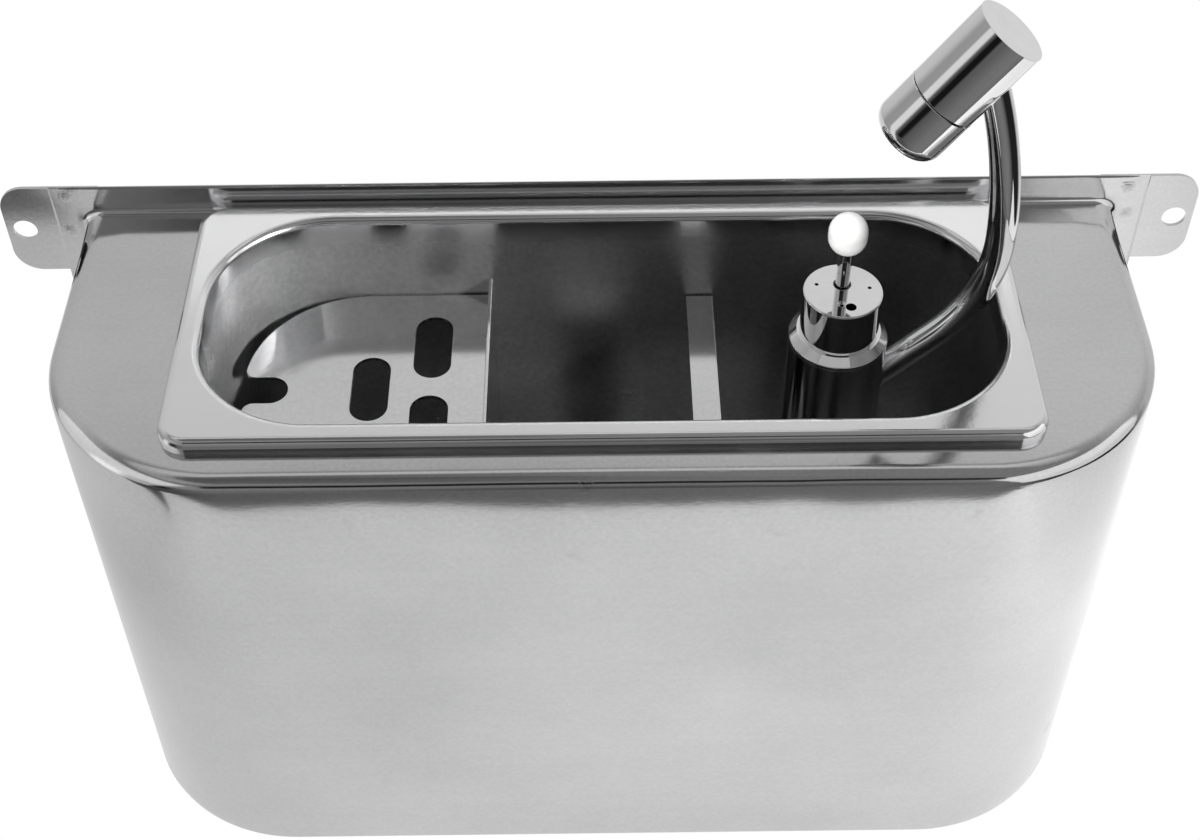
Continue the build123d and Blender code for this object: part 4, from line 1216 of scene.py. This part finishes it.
def area_lamp(name, place, target, size, power, receivers, mirrored=False, spread=pi, blockers=None):
    """A soft lamp that lights only its receivers; blockers, where given, are all that shades them."""
    lamp = bpy.data.lights.new(name, "AREA")
    lamp.shape = "RECTANGLE"
    lamp.size, lamp.size_y = size
    lamp.energy = power
    lamp.spread = spread
    made = bpy.data.objects.new(name, lamp)
    made.location = place
    made.rotation_euler = (Vector(target) - Vector(place)).to_track_quat("-Z", "Y").to_euler()
    made.visible_camera = False
    made.visible_glossy = mirrored
    bpy.context.scene.collection.objects.link(made)
    lit = bpy.data.collections.new(name + "_receivers")
    for piece in receivers:
        lit.objects.link(piece)
    made.light_linking.receiver_collection = lit
    if blockers:
        lamp.cycles.use_multiple_importance_sampling = False
        made.light_linking.blocker_collection = blockers


def stage_sheet(name, points, material):
    """A flat piece of the stage."""
    bm = bmesh.new()
    bm.faces.new([bm.verts.new(point) for point in points])
    mesh = bpy.data.meshes.new(name)
    bm.to_mesh(mesh)
    bm.free()
    mesh.materials.append(material)
    made = bpy.data.objects.new(name, mesh)
    bpy.context.scene.collection.objects.link(made)
    return made


def dark_card(camera, half_size):
    """The dark camera, which the metal mirrors where two faces send the view straight back."""
    half_x, half_y = half_size
    corners = ((-1, -1), (1, -1), (1, 1), (-1, 1))
    sheet = NodeSheet("dark_card")
    sheet.shader.inputs["Base Color"].default_value = (0.01, 0.01, 0.01, 1.0)
    points = [(x * half_x, y * half_y, 0.0) for x, y in corners]
    card = stage_sheet("dark_card", points, sheet.material)
    card.matrix_world = camera.matrix_world
    card.visible_camera = False
    card.visible_diffuse = False
    card.visible_shadow = False


# Light round the room as the metal mirrors it: azimuth in degrees (0 is towards the viewer, 90 to
# the right), then the levels of the bands below the horizon, above it, higher up and overhead
LIGHT_BANDS = (
    (-180, 0.74, 0.86, 0.84, 0.3),
    (-155, 0.74, 0.78, 0.76, 0.24),
    (-128, 0.6, 0.68, 0.72, 0.16),
    (-108, 0.38, 0.4, 0.56, 0.14),
    (-84, 0.4, 0.42, 0.42, 0.15),
    (-79, 0.95, 0.95, 0.46, 0.15),
    (-65, 0.92, 0.92, 0.5, 0.16),
    (-59, 0.16, 0.16, 0.48, 0.17),
    (-50, 0.08, 0.01, 0.44, 0.17),
    (-38, 0.1, 0.01, 0.4, 0.18),
    (-32, 0.12, 0.15, 0.36, 0.18),
    (-12, 0.18, 0.25, 0.3, 0.2),
    (0, 0.22, 0.11, 0.27, 0.22),
    (7, 0.22, 0.13, 0.27, 0.24),
    (15, 0.24, 0.24, 0.27, 0.26),
    (32, 0.2, 0.22, 0.28, 0.3),
    (52, 0.02, 0.02, 0.24, 0.3),
    (94, 0.02, 0.02, 0.28, 0.3),
    (108, 0.7, 0.7, 0.5, 0.3),
    (140, 0.92, 0.92, 0.82, 0.3),
    (156, 0.85, 0.85, 0.86, 0.3),
    (180, 0.74, 0.86, 0.84, 0.3),
)
# Heights (as the sine of the angle above the horizon) over which each band passes into the next
BAND_EDGES = ((-0.12, 0.0), (0.2, 0.5), (0.7, 0.88))
# The narrow strip of light: heights of its two edges, and its share below and above each
STRIP_EDGES = ((0.83, 0.85, 0.0, 1.0), (0.925, 0.94, 1.0, 0.0))


def room_light(look):
    """A pale room for plain surfaces, with bands of light and shade round it for the metal."""
    world = bpy.data.worlds.new("studio_room")
    bpy.context.scene.world = world
    world.use_nodes = True
    tree = world.node_tree
    tree.nodes.clear()

    def node(kind, inputs=(), **values):
        made = tree.nodes.new(kind)
        for key, value in values.items():
            setattr(made, key, value)
        for index, source in inputs:
            if isinstance(source, bpy.types.NodeSocket):
                tree.links.new(source, made.inputs[index])
            else:
                made.inputs[index].default_value = source
        return made

    direction = node("ShaderNodeTexCoord").outputs["Generated"]
    parts = node("ShaderNodeSeparateXYZ", [(0, direction)])
    toward = node("ShaderNodeMath", [(0, parts.outputs[1]), (1, -1.0)], operation="MULTIPLY")
    azimuth = node(
        "ShaderNodeMath", [(0, parts.outputs[0]), (1, toward.outputs[0])], operation="ARCTAN2"
    )
    turn = node(
        "ShaderNodeMapRange", [("Value", azimuth.outputs[0]), ("From Min", -pi), ("From Max", pi)]
    )
    bands = node("ShaderNodeValToRGB", [(0, turn.outputs[0])])
    ramp = bands.color_ramp
    for band in LIGHT_BANDS[1:-1]:
        ramp.elements.new(band[0] / 360 + 0.5)
    for element, (azimuth_angle, *levels) in zip(ramp.elements, LIGHT_BANDS):
        element.position = azimuth_angle / 360 + 0.5
        element.color = levels[1:] + levels[:1]
    levels = node("ShaderNodeSeparateColor", [(0, bands.outputs[0])])
    level = bands.outputs["Alpha"]
    for step, (start, end) in enumerate(BAND_EDGES):
        height = node(
            "ShaderNodeMapRange",
            [("Value", parts.outputs[2]), ("From Min", start), ("From Max", end)],
            interpolation_type="SMOOTHSTEP",
        )
        level = node(
            "ShaderNodeMix",
            [("Factor", height.outputs[0]), ("A", level), ("B", levels.outputs[step])],
        ).outputs[0]
    # A narrow strip of light high up, which draws the thin bright lines along the bends
    strip = levels.outputs[1]
    for start, end, first, last in STRIP_EDGES:
        edge = node(
            "ShaderNodeMapRange",
            [("Value", parts.outputs[2]), ("From Min", start), ("From Max", end)]
            + [("To Min", first), ("To Max", last)],
        )
        strip = node(
            "ShaderNodeMath", [(0, strip), (1, edge.outputs[0])], operation="MULTIPLY"
        ).outputs[0]
    level = node("ShaderNodeMath", [(0, level), (1, strip)], operation="MAXIMUM").outputs[0]
    gained = node("ShaderNodeMath", [(0, level), (1, look.room_gain)], operation="MULTIPLY")
    path = node("ShaderNodeLightPath")
    plain = node("ShaderNodeBackground", [("Strength", look.room_level)])
    gloss = node("ShaderNodeBackground", [("Strength", gained.outputs[0])])
    white = node("ShaderNodeBackground", [("Color", (1.0, 1.0, 1.0, 1.0))])
    first = node(
        "ShaderNodeMixShader",
        [(0, path.outputs["Is Glossy Ray"]), (1, plain.outputs[0]), (2, gloss.outputs[0])],
    )
    second = node(
        "ShaderNodeMixShader",
        [(0, path.outputs["Is Camera Ray"]), (1, first.outputs[0]), (2, white.outputs[0])],
    )
    node("ShaderNodeOutputWorld", [("Surface", second.outputs[0])])


# Light of the floor in the metal: place along X, then its level
FLOOR_LEVELS = (
    (-0.45, 0.68),
    (-0.34, 0.64),
    (-0.26, 0.74),
    (-0.1, 0.79),
    (0.0, 0.86),
    (0.15, 0.92),
    (0.3, 1.1),
    (0.42, 0.86),
)


def floor_material():
    """A pale floor: white to the camera, and brighter to the right where the metal mirrors it."""
    sheet = NodeSheet("pale_floor")
    sheet.shader.inputs["Base Color"].default_value = (0.86, 0.86, 0.86, 1.0)
    sheet.shader.inputs["Roughness"].default_value = 0.9
    level = sheet.node("ShaderNodeValToRGB")
    sheet.link(sheet.maths("ADD", sheet.along(0), 0.5), level.inputs[0])
    ramp = level.color_ramp
    for x, value in FLOOR_LEVELS[1:-1]:
        ramp.elements.new(x + 0.5)
    for element, (x, value) in zip(ramp.elements, FLOOR_LEVELS):
        element.position = x + 0.5
        element.color = (value, value, value, 1.0)
    mirrored = sheet.node("ShaderNodeEmission")
    sheet.link(level.outputs[0], mirrored.inputs["Strength"])
    white = sheet.node("ShaderNodeEmission")
    white.inputs["Strength"].default_value = 1.0
    path = sheet.node("ShaderNodeLightPath")
    first = sheet.node("ShaderNodeMixShader")
    sheet.link(path.outputs["Is Glossy Ray"], first.inputs[0])
    sheet.link(sheet.shader.outputs[0], first.inputs[1])
    sheet.link(mirrored.outputs[0], first.inputs[2])
    second = sheet.node("ShaderNodeMixShader")
    sheet.link(path.outputs["Is Camera Ray"], second.inputs[0])
    sheet.link(first.outputs[0], second.inputs[1])
    sheet.link(white.outputs[0], second.inputs[2])
    sheet.link(second.outputs[0], sheet.tree.nodes["Material Output"].inputs["Surface"])
    return sheet.material


def studio_camera(look):
    """The camera at the photograph's place, and the direction that it looks in."""
    yaw, pitch, roll = look.camera_yaw, look.camera_pitch, look.camera_roll
    ahead = Vector((sin(yaw) * cos(pitch), cos(yaw) * cos(pitch), -sin(pitch)))
    right = Vector((cos(yaw), -sin(yaw), 0.0))
    up = right.cross(ahead)
    turned_right = cos(roll) * right + sin(roll) * up
    turned_up = cos(roll) * up - sin(roll) * right
    lens = bpy.data.cameras.new("studio_camera")
    lens.sensor_fit = "HORIZONTAL"
    lens.sensor_width = 36.0
    lens.lens = look.focal_length
    lens.clip_start = 0.01
    camera = bpy.data.objects.new("studio_camera", lens)
    turn = Matrix((turned_right, turned_up, -ahead)).transposed()
    camera.matrix_world = Matrix.Translation(look.camera_place) @ turn.to_4x4()
    bpy.context.scene.collection.objects.link(camera)
    bpy.context.scene.camera = camera
    return camera, ahead


def studio_lamps(look, ahead):
    """Two lamps for the plain pieces, and a few that shine or show in the metal."""
    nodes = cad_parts
    skin, pan = bpy.data.objects["housing_skin"], nodes["basin"]
    plain = [nodes[name] for name in PLAIN_NODES]
    middle = (0.0, -0.07, 0.0)
    area_lamp("overhead_lamp", (-0.35, -0.1, 1.3), middle, (0.9, 0.7), look.key_power, plain)
    area_lamp("side_lamp", (-0.3, -1.0, 0.35), middle, (0.9, 0.6), look.side_power, plain)
    area_lamp(
        "right_kicker",
        place=(0.96, -0.55, 0.35),
        target=(0.18, -0.1, 0.0),
        size=(1.5, 1.2),
        power=look.right_power,
        receivers=[skin, pan],
        mirrored=True,
    )
    area_lamp(
        "left_kicker",
        place=(-1.05, -0.33, 0.35),
        target=(-0.18, -0.1, 0.0),
        size=(1.3, 1.2),
        power=look.left_power,
        receivers=[skin],
        mirrored=True,
    )
    blockers = bpy.data.collections.new("pan_lamp_blockers")
    for name in ("basin", "scoop_rest", "rest_leg", "splash_partition"):
        blockers.objects.link(nodes[name])
    area_lamp(
        "pan_lamp",
        place=(0.465, -0.525, 0.39),
        target=(-0.165, -0.035, -0.02),
        size=(0.12, 0.12),
        power=look.pan_power,
        receivers=[pan],
        mirrored=True,
        spread=radians(14),
        blockers=blockers,
    )
    area_lamp(
        "rim_lamp",
        place=(0.0, 0.6, 0.54),
        target=(0.0, -0.022, 0.013),
        size=(0.9, 0.13),
        power=look.rim_power,
        receivers=[pan],
        mirrored=True,
        blockers=blockers,
    )
    place = Vector(look.camera_place) + ahead * CAMERA_GAP
    area_lamp(
        "collar_lamp",
        place=place,
        target=place + ahead,
        size=(0.7, 0.17),
        power=look.collar_power,
        receivers=[nodes["column_collar"]],
        mirrored=True,
    )


class DIPPERWELL_OT_stage(bpy.types.Operator):
    """Sets up the camera, the lamps, the room and the floor"""

    bl_idname = "dipperwell.stage"
    bl_label = "Stage"

    def execute(self, context):
        look = settings().stage
        context.scene.view_settings.view_transform = "Standard"
        camera, ahead = studio_camera(look)
        studio_lamps(look, ahead)
        dark_card(camera, look.card_size)
        room_light(look)
        level = housing_low.z - look.floor_drop
        notch_x, notch_y = look.floor_notch
        edges = (
            (-look.floor_left, notch_y),
            (notch_x, notch_y),
            (notch_x - notch_y - look.floor_front, -look.floor_front),
            (look.floor_right, -look.floor_front),
            (look.floor_right, look.floor_back),
            (-look.floor_left, look.floor_back),
        )
        floor = stage_sheet("studio_floor", [(x, y, level) for x, y in edges], floor_material())
        return {"FINISHED"}


class DIPPERWELL_PT_sidebar(bpy.types.Panel):
    """Lists the steps and settings of the dipper well"""

    bl_idname = "DIPPERWELL_PT_sidebar"
    bl_label = "Dipper Well"
    bl_space_type = "VIEW_3D"
    bl_region_type = "UI"
    bl_category = "Dipper Well"

    def draw(self, context):
        for step in STEPS:
            self.layout.operator(step.bl_idname)
        whole = context.scene.dipper_well
        for key in DipperWellSettings.__annotations__:
            group = getattr(whole, key)
            box = self.layout.box()
            for name in type(group).__annotations__:
                box.prop(group, name)


STEPS = (
    DIPPERWELL_OT_housing,
    DIPPERWELL_OT_ears,
    DIPPERWELL_OT_basin,
    DIPPERWELL_OT_inserts,
    DIPPERWELL_OT_column,
    DIPPERWELL_OT_lever,
    DIPPERWELL_OT_arm,
    DIPPERWELL_OT_head,
    DIPPERWELL_OT_waste,
    DIPPERWELL_OT_stage,
)
GROUPS = (HousingSizes, WeldSizes, SpringSizes, FinishSettings, StageSettings, DipperWellSettings)
CLASSES = GROUPS + STEPS + (DIPPERWELL_PT_sidebar,)


def register():
    for each in CLASSES:
        bpy.utils.register_class(each)
    bpy.types.Scene.dipper_well = PointerProperty(type=DipperWellSettings)


def unregister():
    del bpy.types.Scene.dipper_well
    for each in reversed(CLASSES):
        bpy.utils.unregister_class(each)


def main():
    register()
    for step in STEPS:
        group, action = step.bl_idname.split(".")
        getattr(getattr(bpy.ops, group), action)()


if __name__ == "__main__":
    main()
